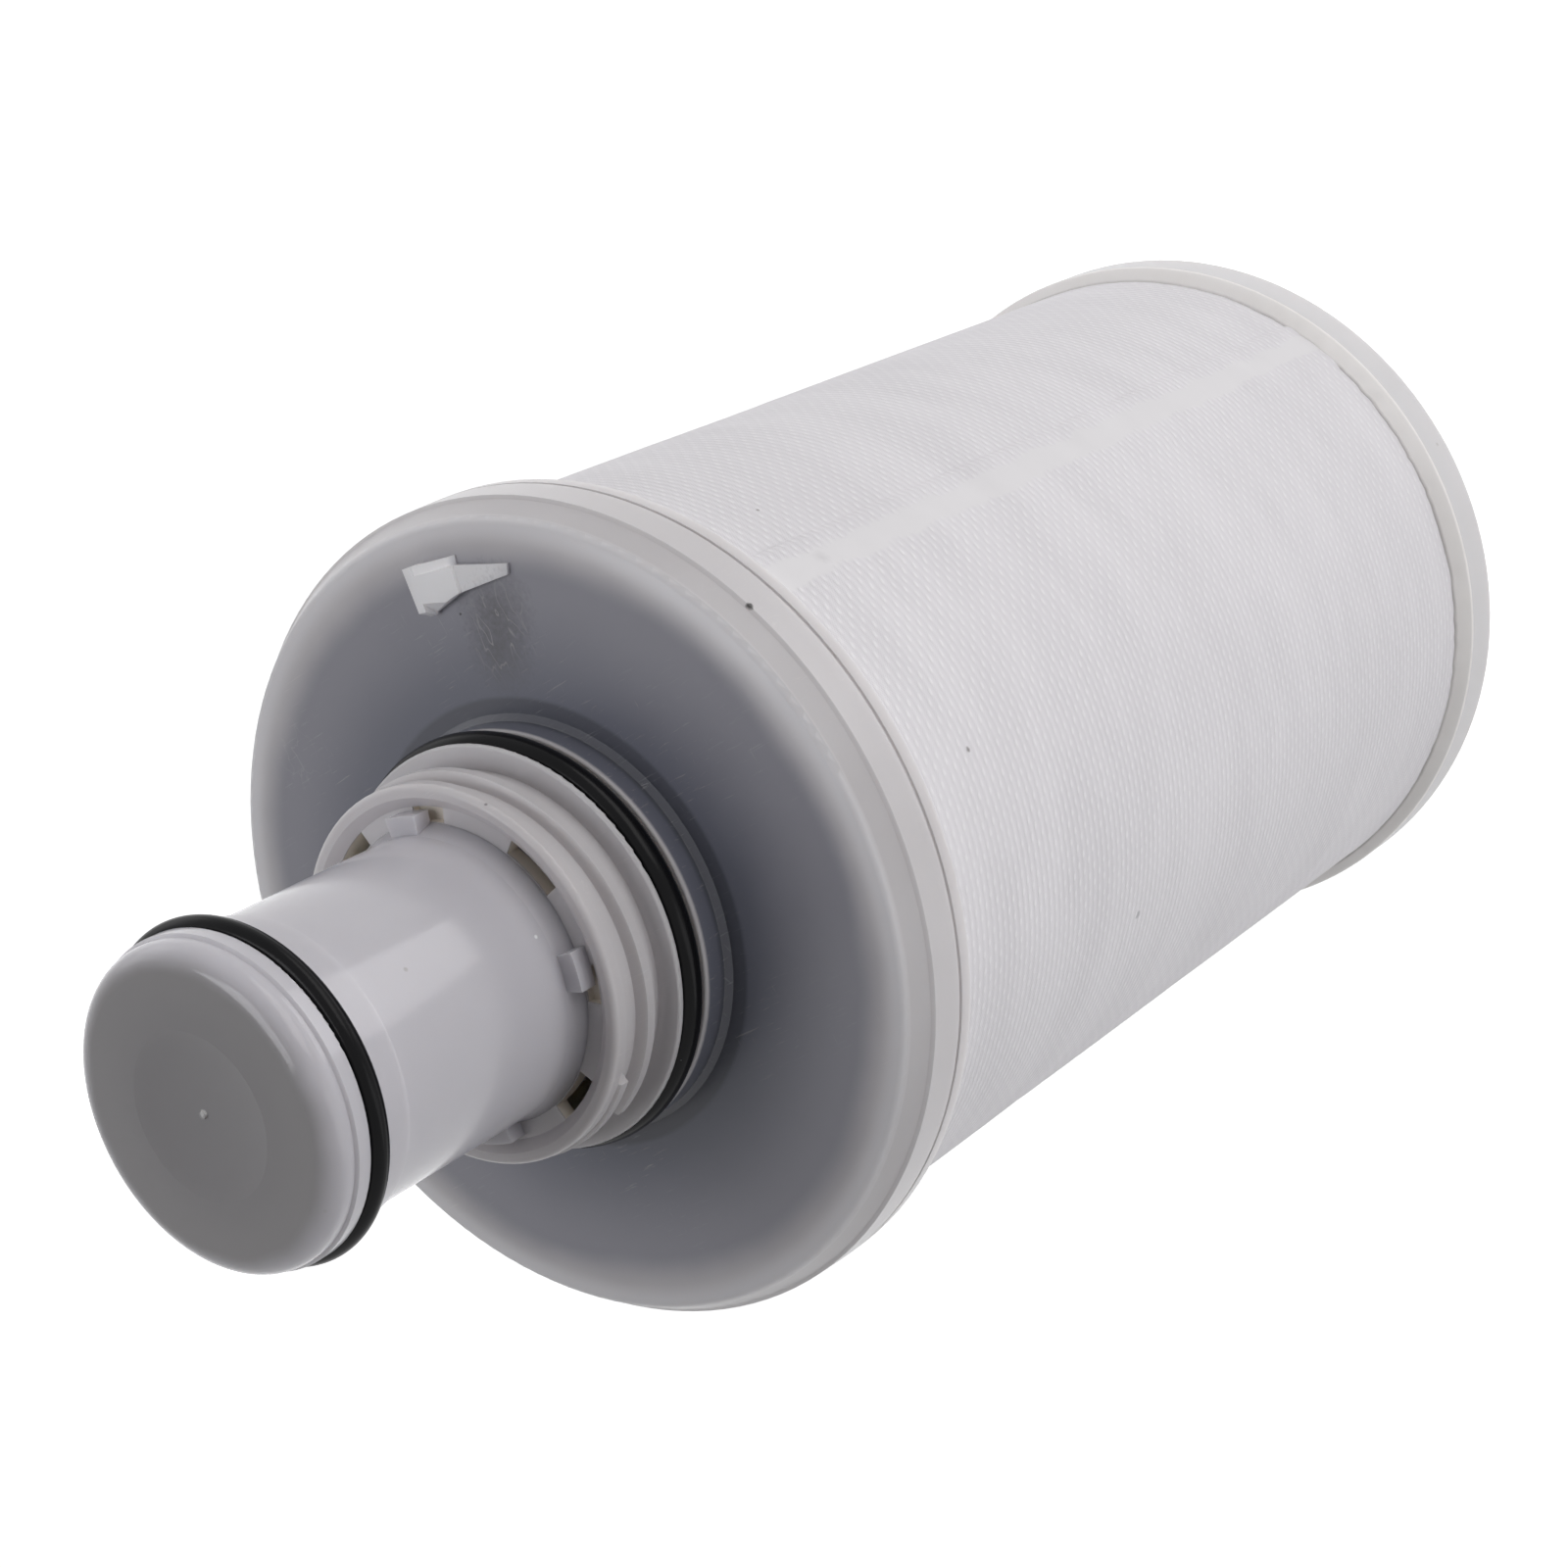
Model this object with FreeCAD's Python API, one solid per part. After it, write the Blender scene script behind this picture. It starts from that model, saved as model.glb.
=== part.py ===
import FreeCAD, Part
import math
import os

V = FreeCAD.Vector
os.makedirs("parts", exist_ok=True)

# Overall body, millimetres, standing on the closed rear cap
CAP_REAR_Z = 178.0
CAP_R = 62.5
RIM_T = 2.6
SKIRT_GAP = 0.6
WRAP_T = 0.8
FELT_T = 3.6
LAYER_FIT = 0.1
GLUE_FIT = 1.5
SEAM_ANGLE = 297.2
SEAM_W = 11.0
SEAM_T = 0.35
EDGE = 0.4

# Outlet cap: rim and face plate
BAND_H = 8.3
BAND_DRAFT = 0.25
BAND_STEP = 0.55
BAND_GROOVE = 0.35
BAND_GROOVE_W = 0.7
FACE_H = 12.2
FACE_T = 3.2
SHOULDER_RUN = 2.7
SHOULDER_ROUND = 1.2

# Collar round the nose, with the groove of the large ring
ROOT_OUT = 0.9
ROOT_H = 0.8
WINDOW_GAP = 3.3
COLLAR_WALL = 2.1
GROOVE_WALL = 0.6
GROOVE_W = 4.4
REAR_FLANGE_OUT = 3.5
REAR_FLANGE_H = 5.0
FRONT_FLANGE_OUT = 3.0
FRONT_FLANGE_T = 1.0
LIP_OUT = 1.3
LIP_H = 21.4
LIP_T = 2.2
LIP_ROUND = 0.9
LIP_MOUTH = 1.6
WEB_DEPTH = 1.3
WEB_T = 2.4
WEB_FIT = 0.3

# Thread on the collar, one turn, right hand
THREAD_PITCH = 4.2
THREAD_TURNS = 1.05
THREAD_START = 197.0
THREAD_RISE = 3.4
THREAD_OUT = 1.7
THREAD_BASE = 3.0
THREAD_CREST = 1.5

# Water windows and bayonet lugs round the nose
WINDOW_COUNT = 4
WIDE_WINDOW_ANGLE = 21.0
WIDE_WINDOW_SPAN = 21.0
LUG_ANGLE = 343.5
LUG_SPAN = 13.5
LUG_GAP_SPAN = 6.6
POCKET_DEPTH = 1.4
WINDOW_EDGE = 1.0
LUG_FIT = 0.5
LUG_H = 2.9

# Wedge key standing on the face plate
KEY_H = 3.2
KEY_INSET = 3.6
KEY_W = 7.6
KEY_START = 349.6
KEY_HEEL = 348.2
KEY_STEP = 341.5
KEY_END = 331.3
KEY_ARM_INSET = 1.3
KEY_ARM_W = 1.6
KEY_WAIST = 2.3
KEY_FOOT = 0.3
KEY_MID = 1.7
KEY_LOW = 0.6
KEY_BEVEL_W = 2.8
KEY_HEEL_BEVEL_W = 1.4

# Nose housing: closed tube at the front end
TUBE_WALL = 2.2
TUBE_SINK = 21.3
SHELF_T = 4.0
ROOT_FLARE = 0.9
ROOT_FLARE_H = 3.2
BEAD_OUT = 0.8
BEAD_H = 1.0
LAND_OUT = 0.45
LAND_W = 5.8
NOSE_GROOVE_W = 3.2
NOSE_GROOVE_DEPTH = 0.1
NOSE_LIP_OUT = 1.9
NOSE_LIP_T = 2.3
NOSE_OUT = 1.45
NOSE_H = 50.7
NOSE_TIP_H = 6.5
NOSE_ROUND = 3.2
NOSE_WALL = 3.0
DISH_R = 11.7
DISH_DEPTH = 0.8
NUB_R = 0.5
NUB_H = 0.35

# Black rings
O_RING_SECTION_R = 2.0
NOSE_RING_SECTION_R = 1.5

# Rear cap
REAR_RIM_T = 1.6
REAR_DRAFT = 0.25
REAR_H = 8.5
REAR_PLATE = 3.0
REAR_ROUND = 1.6
FOOT_T = 3.3
FOOT_FIT = 0.1
FOOT_WALL_T = 1.0
FOOT_WALL_H = 7.0

# Core tube with slots
CORE_GAP = 0.2
CORE_FIT = 0.4
CORE_WALL = 2.0
CORE_ROWS = 8
CORE_COLUMNS = 6
CORE_SLOT_W = 6.0
CORE_SLOT_H = 12.0

# Lamp group
SLEEVE_WALL = 1.4
SLEEVE_BOTTOM_Z = 12.0
SLEEVE_OVER_GLAND = 0.1
SLEEVE_FIT = 0.3
SEAL_T = 3.6
SEAL_H = 3.4
GLAND_FIT = 0.1
GLAND_WALL = 5.0
GLAND_H = 6.5
FOOT_H = 13.0
LAMP_R = 8.0
LAMP_AIR = 4.6
LAMP_WALL = 0.9
LAMP_RISE = 19.6
LAMP_CAP_T = 1.2
LAMP_CAP_H = 10.0
CAP_OVERLAP = 4.0
WIRE_R = 0.8
WIRE_GAP = 1.4
SPACER_R = 9.0
COIL_PIN_R = 0.4
COIL_RING_R = 2.6

# Power group inside the nose
SOCKET_R = 12.0
SOCKET_H = 15.0
BOARD_FIT = 0.5
BOARD_T = 1.6
BOARD_GAP = 7.5
BOBBIN_H = 21.0
BOBBIN_FIT = 1.3
BOBBIN_HUB_T = 1.6
BOBBIN_T = 1.3
BOBBIN_TOP_GAP = 3.5
FERRITE_R = 6.8
COIL_INSET = 1.2
SHELF_LUG = 1.2
CAPACITOR_W = 9.0
CAPACITOR_D = 4.6
CAPACITOR_H = 5.0
CAPACITOR_X = 8.0

# Radii that follow, from the rim inward
SKIRT_IN_R = CAP_R - RIM_T
WRAP_R = SKIRT_IN_R - SKIRT_GAP
WRAP_IN_R = WRAP_R - WRAP_T
FELT_R = WRAP_IN_R - LAYER_FIT
BLOCK_R = FELT_R - FELT_T - LAYER_FIT
REAR_R = SKIRT_IN_R + REAR_RIM_T
FACE_R = CAP_R - SHOULDER_RUN - SHOULDER_ROUND
KEY_OUT_R = FACE_R - KEY_INSET
KEY_IN_R = KEY_OUT_R - KEY_W
KEY_ARM_OUT_R = KEY_OUT_R - KEY_ARM_INSET
KEY_ARM_IN_R = KEY_ARM_OUT_R - KEY_ARM_W

# Radii that follow, from the lamp out to the nose tube
LAMP_CAP_R = LAMP_R + LAMP_CAP_T
WIRE_PATH_R = LAMP_CAP_R + WIRE_GAP
SLEEVE_IN_R = LAMP_R + LAMP_AIR
SLEEVE_R = SLEEVE_IN_R + SLEEVE_WALL
SEAL_R = SLEEVE_R + SEAL_T
GLAND_R = SLEEVE_R + GLAND_WALL
TUBE_IN_R = GLAND_R + GLAND_FIT
TUBE_R = TUBE_IN_R + TUBE_WALL

# Radii that follow, from the sleeve out to the block
FOOT_R = SLEEVE_R + FOOT_T
FOOT_WALL_R = FOOT_R + FOOT_FIT
CORE_IN_R = FOOT_WALL_R + FOOT_WALL_T + CORE_GAP
CORE_R = CORE_IN_R + CORE_WALL
BLOCK_BORE_R = CORE_R + CORE_FIT

# Radii that follow, from the nose tube outward
WEB_IN_R = TUBE_R + WEB_FIT
WINDOW_IN_R = TUBE_R + WINDOW_EDGE
COLLAR_IN_R = TUBE_R + WINDOW_GAP
LUG_R = COLLAR_IN_R - LUG_FIT
COLLAR_R = COLLAR_IN_R + COLLAR_WALL
THREAD_R = COLLAR_R + THREAD_OUT
LIP_R = COLLAR_R + LIP_OUT
GROOVE_R = COLLAR_R + GROOVE_WALL
REAR_FLANGE_R = GROOVE_R + REAR_FLANGE_OUT
FRONT_FLANGE_R = GROOVE_R + FRONT_FLANGE_OUT
ROOT_R = REAR_FLANGE_R + ROOT_OUT
BEAD_R = TUBE_R + BEAD_OUT
LAND_R = TUBE_R + LAND_OUT
NOSE_GROOVE_R = TUBE_R - NOSE_GROOVE_DEPTH
NOSE_LIP_R = TUBE_R + NOSE_LIP_OUT
NOSE_R = TUBE_R + NOSE_OUT

# Radii that follow inside the nose
BOARD_R = TUBE_IN_R - BOARD_FIT
BOBBIN_R = TUBE_IN_R - BOBBIN_FIT
BOBBIN_HUB_R = FERRITE_R + BOBBIN_HUB_T
COIL_R = BOBBIN_R - COIL_INSET

# Heights that follow, from the rim to the nose
BAND_TOP_Z = CAP_REAR_Z + BAND_H
FACE_Z = CAP_REAR_Z + FACE_H
UNDER_FACE_Z = FACE_Z - FACE_T
BLOCK_BOTTOM_Z = REAR_PLATE + GLUE_FIT
BLOCK_TOP_Z = UNDER_FACE_Z - GLUE_FIT
REAR_FLANGE_Z = FACE_Z + REAR_FLANGE_H
GROOVE_TOP_Z = REAR_FLANGE_Z + GROOVE_W
THREAD_LAND_Z = GROOVE_TOP_Z + FRONT_FLANGE_T
THREAD_Z = THREAD_LAND_Z + THREAD_RISE
LIP_Z = FACE_Z + LIP_H
WEB_Z = LIP_Z - WEB_DEPTH
NOSE_TOP_Z = WEB_Z + NOSE_H
NOSE_LIP_Z = NOSE_TOP_Z - NOSE_TIP_H
NOSE_GROOVE_Z = NOSE_LIP_Z - NOSE_GROOVE_W
LAND_Z = NOSE_GROOVE_Z - LAND_W

# Heights that follow inside
TUBE_BOTTOM_Z = WEB_Z - TUBE_SINK
SEAL_Z = TUBE_BOTTOM_Z + SHELF_T
GLAND_Z = SEAL_Z + SEAL_H
SLEEVE_TOP_Z = GLAND_Z + GLAND_H + SLEEVE_OVER_GLAND
BOBBIN_Z = NOSE_TOP_Z - NOSE_WALL - BOBBIN_TOP_GAP - BOBBIN_H
BOARD_Z = BOBBIN_Z - BOARD_GAP
LAMP_TOP_Z = BOARD_Z - SOCKET_H - LAMP_CAP_H + CAP_OVERLAP
LAMP_BOTTOM_Z = SLEEVE_BOTTOM_Z + SLEEVE_WALL + LAMP_RISE


def turned(points):
    """Solid of revolution about Z from (radius, height) corners."""
    corners = [V(r, 0, z) for r, z in points]
    face = Part.Face(Part.makePolygon(corners + corners[:1]))
    return face.revolve(V(0, 0, 0), V(0, 0, 1), 360)


def tube(outer, inner, z, height):
    """Plain ring of square section."""
    return turned([(inner, z), (outer, z), (outer, z + height), (inner, z + height)])


def disc(radius, z, height, x=0.0, y=0.0):
    """Upright cylinder."""
    return Part.makeCylinder(radius, height, V(x, y, z))


def circles_at(shape, radius, z):
    """Round edges of one radius at one height."""
    found = []
    for edge in shape.Edges:
        curve = edge.Curve
        if isinstance(curve, Part.Circle) and abs(curve.Radius - radius) < 1e-3:
            if abs(curve.Center.z - z) < 1e-3 and math.hypot(curve.Center.x, curve.Center.y) < 1e-3:
                found.append(edge)
    return found


def rounded(shape, radius, z, amount):
    """Fillet of the round edges at one radius and height."""
    edges = circles_at(shape, radius, z)
    return shape.makeFillet(amount, edges) if edges else shape


def sector(outer, inner, z, height, start, span):
    """Part of a ring between two angles."""
    corners = [V(inner, 0, z), V(outer, 0, z), V(outer, 0, z + height), V(inner, 0, z + height)]
    face = Part.Face(Part.makePolygon(corners + corners[:1]))
    solid = face.revolve(V(0, 0, 0), V(0, 0, 1), span)
    solid.rotate(V(0, 0, 0), V(0, 0, 1), start)
    return solid


def polar(radius, angle, z):
    """Point at a radius, an angle in degrees and a height."""
    a = math.radians(angle)
    return V(radius * math.cos(a), radius * math.sin(a), z)


def o_ring(section, centre, z):
    """Round-section ring."""
    return Part.makeTorus(centre, section, V(0, 0, z), V(0, 0, 1))


def prism(corners, height):
    """Straight solid raised from a flat outline."""
    return Part.Face(Part.makePolygon(corners + corners[:1])).extrude(V(0, 0, height))


def cap_shell():
    """Rim, face plate and collar of the outlet cap as one turned body."""
    band_r = CAP_R - BAND_DRAFT
    shoulder_r = band_r - BAND_STEP
    groove_z = CAP_REAR_Z + 3 * BAND_GROOVE_W
    return turned([
        (SKIRT_IN_R, CAP_REAR_Z), (CAP_R, CAP_REAR_Z), (CAP_R, groove_z),
        (CAP_R - BAND_GROOVE, groove_z), (CAP_R - BAND_GROOVE, groove_z + BAND_GROOVE_W),
        (CAP_R, groove_z + BAND_GROOVE_W), (band_r, BAND_TOP_Z), (shoulder_r, BAND_TOP_Z + EDGE),
        (FACE_R + SHOULDER_ROUND, FACE_Z), (ROOT_R, FACE_Z), (REAR_FLANGE_R, FACE_Z + ROOT_H),
        (REAR_FLANGE_R, REAR_FLANGE_Z), (GROOVE_R, REAR_FLANGE_Z), (GROOVE_R, GROOVE_TOP_Z),
        (FRONT_FLANGE_R, GROOVE_TOP_Z), (FRONT_FLANGE_R, THREAD_LAND_Z), (COLLAR_R, THREAD_LAND_Z),
        (COLLAR_R, LIP_Z - LIP_T - EDGE), (LIP_R, LIP_Z - LIP_T), (LIP_R, LIP_Z),
        (COLLAR_IN_R + LIP_MOUTH, LIP_Z), (COLLAR_IN_R, WEB_Z), (WEB_IN_R, WEB_Z),
        (WEB_IN_R, WEB_Z - WEB_T), (COLLAR_IN_R, WEB_Z - WEB_T), (COLLAR_IN_R, UNDER_FACE_Z),
        (SKIRT_IN_R, UNDER_FACE_Z),
    ])


def thread():
    """One turn of coarse rounded thread on the collar."""
    height = THREAD_PITCH * THREAD_TURNS
    helix = Part.makeHelix(THREAD_PITCH, height, COLLAR_R)
    root = COLLAR_R - EDGE
    corners = [V(root, 0, -THREAD_BASE / 2), V(THREAD_R, 0, -THREAD_CREST / 2),
               V(THREAD_R, 0, THREAD_CREST / 2), V(root, 0, THREAD_BASE / 2)]
    profile = Part.makePolygon(corners + corners[:1])
    solid = Part.Wire(helix).makePipeShell([profile], True, True)
    solid.rotate(V(0, 0, 0), V(0, 0, 1), THREAD_START)
    solid.translate(V(0, 0, THREAD_Z))
    return solid


def windows():
    """Wide water windows through the web, and a shallow pocket beside each lug."""
    cuts = []
    pitch = 360.0 / WINDOW_COUNT
    through = WEB_T + 2 * EDGE
    for i in range(WINDOW_COUNT):
        start = WIDE_WINDOW_ANGLE + i * pitch - WIDE_WINDOW_SPAN / 2
        cuts.append(sector(COLLAR_IN_R, WINDOW_IN_R, WEB_Z - WEB_T - EDGE, through, start, WIDE_WINDOW_SPAN))
        start = LUG_ANGLE + i * pitch - LUG_SPAN / 2 - LUG_GAP_SPAN
        cuts.append(sector(COLLAR_IN_R, WINDOW_IN_R, WEB_Z - POCKET_DEPTH, POCKET_DEPTH + EDGE,
                           start, LUG_GAP_SPAN + LUG_SPAN / 2))
    return cuts


def key_ramp(start_h, end_h, end_angle):
    """Long wedge that falls from the tall end of the key toward one angle."""
    sink = FACE_Z - EDGE
    length = math.radians(KEY_START - end_angle) * KEY_OUT_R
    side = [V(0, -KEY_OUT_R, sink), V(0, -KEY_OUT_R, FACE_Z + start_h),
            V(length, -KEY_OUT_R, FACE_Z + end_h), V(length, -KEY_OUT_R, sink)]
    ramp = Part.Face(Part.makePolygon(side + side[:1])).extrude(V(0, 2 * KEY_OUT_R, 0))
    ramp.rotate(V(0, 0, 0), V(0, 0, 1), (KEY_START + end_angle) / 2 - 90)
    ramp.translate(polar(KEY_OUT_R, KEY_START, 0))
    return ramp


def key_bevel(width):
    """Ring whose inner wall leans outward as it rises to the top of the key."""
    sink = FACE_Z - EDGE
    foot = KEY_IN_R - EDGE
    return turned([(foot, sink), (foot, FACE_Z), (foot + width, FACE_Z + KEY_H),
                   (KEY_OUT_R, FACE_Z + KEY_H), (KEY_OUT_R, sink)])


def face_key():
    """Wedge key: a tall heel, a short steep branch outside and a long arm that falls to the face."""
    sink = FACE_Z - EDGE
    high = KEY_H + EDGE
    branch = prism([
        polar(KEY_OUT_R, KEY_START, sink), polar(KEY_OUT_R, KEY_STEP, sink),
        polar(KEY_ARM_OUT_R, KEY_STEP, sink), polar(KEY_ARM_OUT_R, KEY_START, sink)], high)
    arm = prism([
        polar(KEY_ARM_OUT_R, KEY_START, sink), polar(KEY_ARM_OUT_R, KEY_STEP, sink),
        polar(KEY_ARM_OUT_R, KEY_END, sink), polar(KEY_ARM_IN_R, KEY_END, sink),
        polar(KEY_IN_R + KEY_WAIST, KEY_STEP, sink), polar(KEY_IN_R, KEY_START, sink)], high)
    heel = prism([
        polar(KEY_OUT_R, KEY_START, sink), polar(KEY_OUT_R, KEY_HEEL, sink),
        polar(KEY_IN_R, KEY_HEEL, sink), polar(KEY_IN_R, KEY_START, sink)], high)
    slope = key_ramp(KEY_H, KEY_MID, KEY_STEP).fuse(key_ramp(KEY_MID, KEY_LOW, KEY_END))
    arm = arm.common(key_bevel(KEY_BEVEL_W)).common(slope)
    heel = heel.common(key_bevel(KEY_HEEL_BEVEL_W)).common(slope)
    return branch.common(key_ramp(KEY_H, KEY_FOOT, KEY_STEP)).fuse([arm, heel])


def outlet_cap():
    body = cap_shell()
    body = rounded(body, FACE_R + SHOULDER_ROUND, FACE_Z, SHOULDER_ROUND)
    body = rounded(body, LIP_R, LIP_Z, LIP_ROUND)
    body = rounded(body, REAR_FLANGE_R, REAR_FLANGE_Z, EDGE)
    body = rounded(body, FRONT_FLANGE_R, THREAD_LAND_Z, EDGE)
    body = rounded(body, FRONT_FLANGE_R, GROOVE_TOP_Z, EDGE)
    body = body.cut(Part.makeCompound(windows()))
    return body.fuse([thread(), face_key()])


def nose_outline():
    """Corners of the closed nose tube, outside then inside."""
    hole_r = SLEEVE_R + SLEEVE_FIT
    top_in = NOSE_TOP_Z - NOSE_WALL
    return [
        (hole_r, TUBE_BOTTOM_Z), (TUBE_R, TUBE_BOTTOM_Z), (TUBE_R, WEB_Z - WEB_T - BEAD_H - BEAD_R + TUBE_R),
        (BEAD_R, WEB_Z - WEB_T - BEAD_H), (BEAD_R, WEB_Z - WEB_T), (TUBE_R, WEB_Z - WEB_T),
        (TUBE_R, WEB_Z), (TUBE_R + ROOT_FLARE, WEB_Z), (TUBE_R, WEB_Z + ROOT_FLARE_H),
        (TUBE_R, LAND_Z), (LAND_R, LAND_Z + EDGE), (LAND_R, NOSE_GROOVE_Z), (NOSE_GROOVE_R, NOSE_GROOVE_Z),
        (NOSE_GROOVE_R, NOSE_LIP_Z), (NOSE_LIP_R, NOSE_LIP_Z), (NOSE_LIP_R, NOSE_LIP_Z + NOSE_LIP_T),
        (NOSE_R, NOSE_LIP_Z + NOSE_LIP_T + EDGE), (NOSE_R, NOSE_TOP_Z), (0, NOSE_TOP_Z), (0, top_in),
        (TUBE_IN_R, top_in), (TUBE_IN_R, SEAL_Z + SEAL_H), (SEAL_R, SEAL_Z + SEAL_H),
        (SEAL_R, SEAL_Z), (hole_r, SEAL_Z),
    ]


def nose_housing():
    body = turned(nose_outline())
    body = rounded(body, NOSE_R, NOSE_TOP_Z, NOSE_ROUND)
    body = rounded(body, NOSE_LIP_R, NOSE_LIP_Z, EDGE)
    ball_r = (DISH_R ** 2 + DISH_DEPTH ** 2) / (2 * DISH_DEPTH)
    body = body.cut(Part.makeSphere(ball_r, V(0, 0, NOSE_TOP_Z - DISH_DEPTH + ball_r)))
    pitch = 360.0 / WINDOW_COUNT
    extras = [disc(NUB_R, NOSE_TOP_Z - DISH_DEPTH - EDGE, NUB_H + EDGE)]
    for i in range(WINDOW_COUNT):
        start = LUG_ANGLE + i * pitch - LUG_SPAN / 2
        extras.append(sector(LUG_R, TUBE_R - EDGE, WEB_Z, LUG_H, start, LUG_SPAN))
    shelf_z = BOARD_Z - SHELF_LUG
    extras.append(tube(TUBE_R - EDGE, BOARD_R - EDGE, shelf_z, SHELF_LUG))
    extras.append(tube(TUBE_R - EDGE, BOBBIN_R - EDGE, BOBBIN_Z - SHELF_LUG, SHELF_LUG))
    return body.fuse(extras)


def rear_cap():
    body = turned([
        (0, 0), (REAR_R - REAR_DRAFT, 0), (REAR_R, REAR_ROUND), (REAR_R - REAR_DRAFT, REAR_H),
        (SKIRT_IN_R, REAR_H), (SKIRT_IN_R, REAR_PLATE), (FOOT_WALL_R + FOOT_WALL_T, REAR_PLATE),
        (FOOT_WALL_R + FOOT_WALL_T, REAR_PLATE + FOOT_WALL_H), (FOOT_WALL_R, REAR_PLATE + FOOT_WALL_H),
        (FOOT_WALL_R, REAR_PLATE), (0, REAR_PLATE),
    ])
    return rounded(body, REAR_R - REAR_DRAFT, 0, REAR_ROUND - EDGE)


def prefilter_wrap():
    height = BLOCK_TOP_Z - BLOCK_BOTTOM_Z
    body = tube(WRAP_R, WRAP_IN_R, BLOCK_BOTTOM_Z, height)
    span = math.degrees(SEAM_W / WRAP_R)
    seam = sector(WRAP_R + SEAM_T, WRAP_R - EDGE, BLOCK_BOTTOM_Z, height, SEAM_ANGLE - span / 2, span)
    return body.fuse(seam)


def core_tube():
    body = tube(CORE_R, CORE_IN_R, REAR_PLATE, UNDER_FACE_Z - REAR_PLATE)
    rise = (BLOCK_TOP_Z - BLOCK_BOTTOM_Z) / CORE_ROWS
    slots = []
    for row in range(CORE_ROWS):
        z = BLOCK_BOTTOM_Z + (row + 0.5) * rise
        for column in range(CORE_COLUMNS // 2):
            slot = Part.makeBox(2 * CORE_R + 2, CORE_SLOT_W, CORE_SLOT_H,
                                V(-CORE_R - 1, -CORE_SLOT_W / 2, z - CORE_SLOT_H / 2))
            slot.rotate(V(0, 0, 0), V(0, 0, 1), column * 360.0 / CORE_COLUMNS + row * 30)
            slots.append(slot)
    return body.cut(Part.makeCompound(slots))


def quartz_sleeve():
    """Glass tube with one round closed end."""
    def closed(radius, bottom):
        shaft = disc(radius, bottom + radius, SLEEVE_TOP_Z - bottom - radius)
        return shaft.fuse(Part.makeSphere(radius, V(0, 0, bottom + radius)))
    return closed(SLEEVE_R, SLEEVE_BOTTOM_Z).cut(closed(SLEEVE_IN_R, SLEEVE_BOTTOM_Z + SLEEVE_WALL))


def sleeve_foot():
    body = disc(FOOT_R, REAR_PLATE, FOOT_H)
    ball = Part.makeSphere(SLEEVE_R, V(0, 0, SLEEVE_BOTTOM_Z + SLEEVE_R))
    return body.cut(ball)


def lamp_spacer():
    """Soft plug between the round end of the sleeve and the lamp."""
    bottom = SLEEVE_BOTTOM_Z + SLEEVE_WALL
    top = LAMP_BOTTOM_Z - LAMP_CAP_H + CAP_OVERLAP
    body = disc(SPACER_R, bottom, top - bottom)
    return body.common(Part.makeSphere(SLEEVE_IN_R, V(0, 0, bottom + SLEEVE_IN_R)))


def lamp_tube():
    body = disc(LAMP_R, LAMP_BOTTOM_Z, LAMP_TOP_Z - LAMP_BOTTOM_Z)
    hollow = disc(LAMP_R - LAMP_WALL, LAMP_BOTTOM_Z + LAMP_WALL, LAMP_TOP_Z - LAMP_BOTTOM_Z - 2 * LAMP_WALL)
    return body.cut(hollow)


def lamp_cap(z_open, z_closed):
    """End cup over the lamp tube, open toward z_open."""
    low, high = min(z_open, z_closed), max(z_open, z_closed)
    body = disc(LAMP_CAP_R, low, high - low)
    if z_open > z_closed:
        return body.cut(disc(LAMP_R, z_open - CAP_OVERLAP, CAP_OVERLAP))
    return body.cut(disc(LAMP_R, z_open, CAP_OVERLAP))


def electrode(z_wall, direction):
    """Two pins and a small heater ring inside one lamp end."""
    length = 3 * CAP_OVERLAP
    base = z_wall if direction > 0 else z_wall - length
    pins = [disc(COIL_PIN_R, base, length, x, 0) for x in (-COIL_RING_R, COIL_RING_R)]
    ring_z = z_wall + direction * length
    return Part.makeTorus(COIL_RING_R, 2 * COIL_PIN_R, V(0, 0, ring_z), V(0, 0, 1)).fuse(pins)


def lamp_wire():
    """Return lead from the rear lamp end to the socket."""
    low = LAMP_BOTTOM_Z
    wire = disc(WIRE_R, low, LAMP_TOP_Z + LAMP_CAP_H - CAP_OVERLAP - low, WIRE_PATH_R, 0)
    hook = Part.makeCylinder(WIRE_R, WIRE_PATH_R - LAMP_CAP_R, V(LAMP_CAP_R, 0, low), V(1, 0, 0))
    return wire.fuse([hook, Part.makeSphere(WIRE_R, V(WIRE_PATH_R, 0, low))])


def lamp_socket():
    low = LAMP_TOP_Z + LAMP_CAP_H - CAP_OVERLAP
    return disc(SOCKET_R, low, BOARD_Z - low)


def circuit_board():
    return disc(BOARD_R, BOARD_Z, BOARD_T)


def capacitor(side):
    x = side * CAPACITOR_X
    z = BOARD_Z + BOARD_T
    body = Part.makeBox(CAPACITOR_D, CAPACITOR_W, CAPACITOR_H, V(x - CAPACITOR_D / 2, -CAPACITOR_W / 2, z))
    upright = [e for e in body.Edges if abs(e.Vertexes[0].Z - e.Vertexes[1].Z) > 1]
    return body.makeFillet(EDGE, upright)


def coil_bobbin():
    top = BOBBIN_Z + BOBBIN_H
    return turned([
        (FERRITE_R, BOBBIN_Z), (BOBBIN_R, BOBBIN_Z), (BOBBIN_R, BOBBIN_Z + BOBBIN_T),
        (BOBBIN_HUB_R, BOBBIN_Z + BOBBIN_T), (BOBBIN_HUB_R, top - BOBBIN_T),
        (BOBBIN_R, top - BOBBIN_T), (BOBBIN_R, top), (FERRITE_R, top),
    ])


def pickup_coil():
    return tube(COIL_R, BOBBIN_HUB_R, BOBBIN_Z + BOBBIN_T, BOBBIN_H - 2 * BOBBIN_T)


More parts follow.
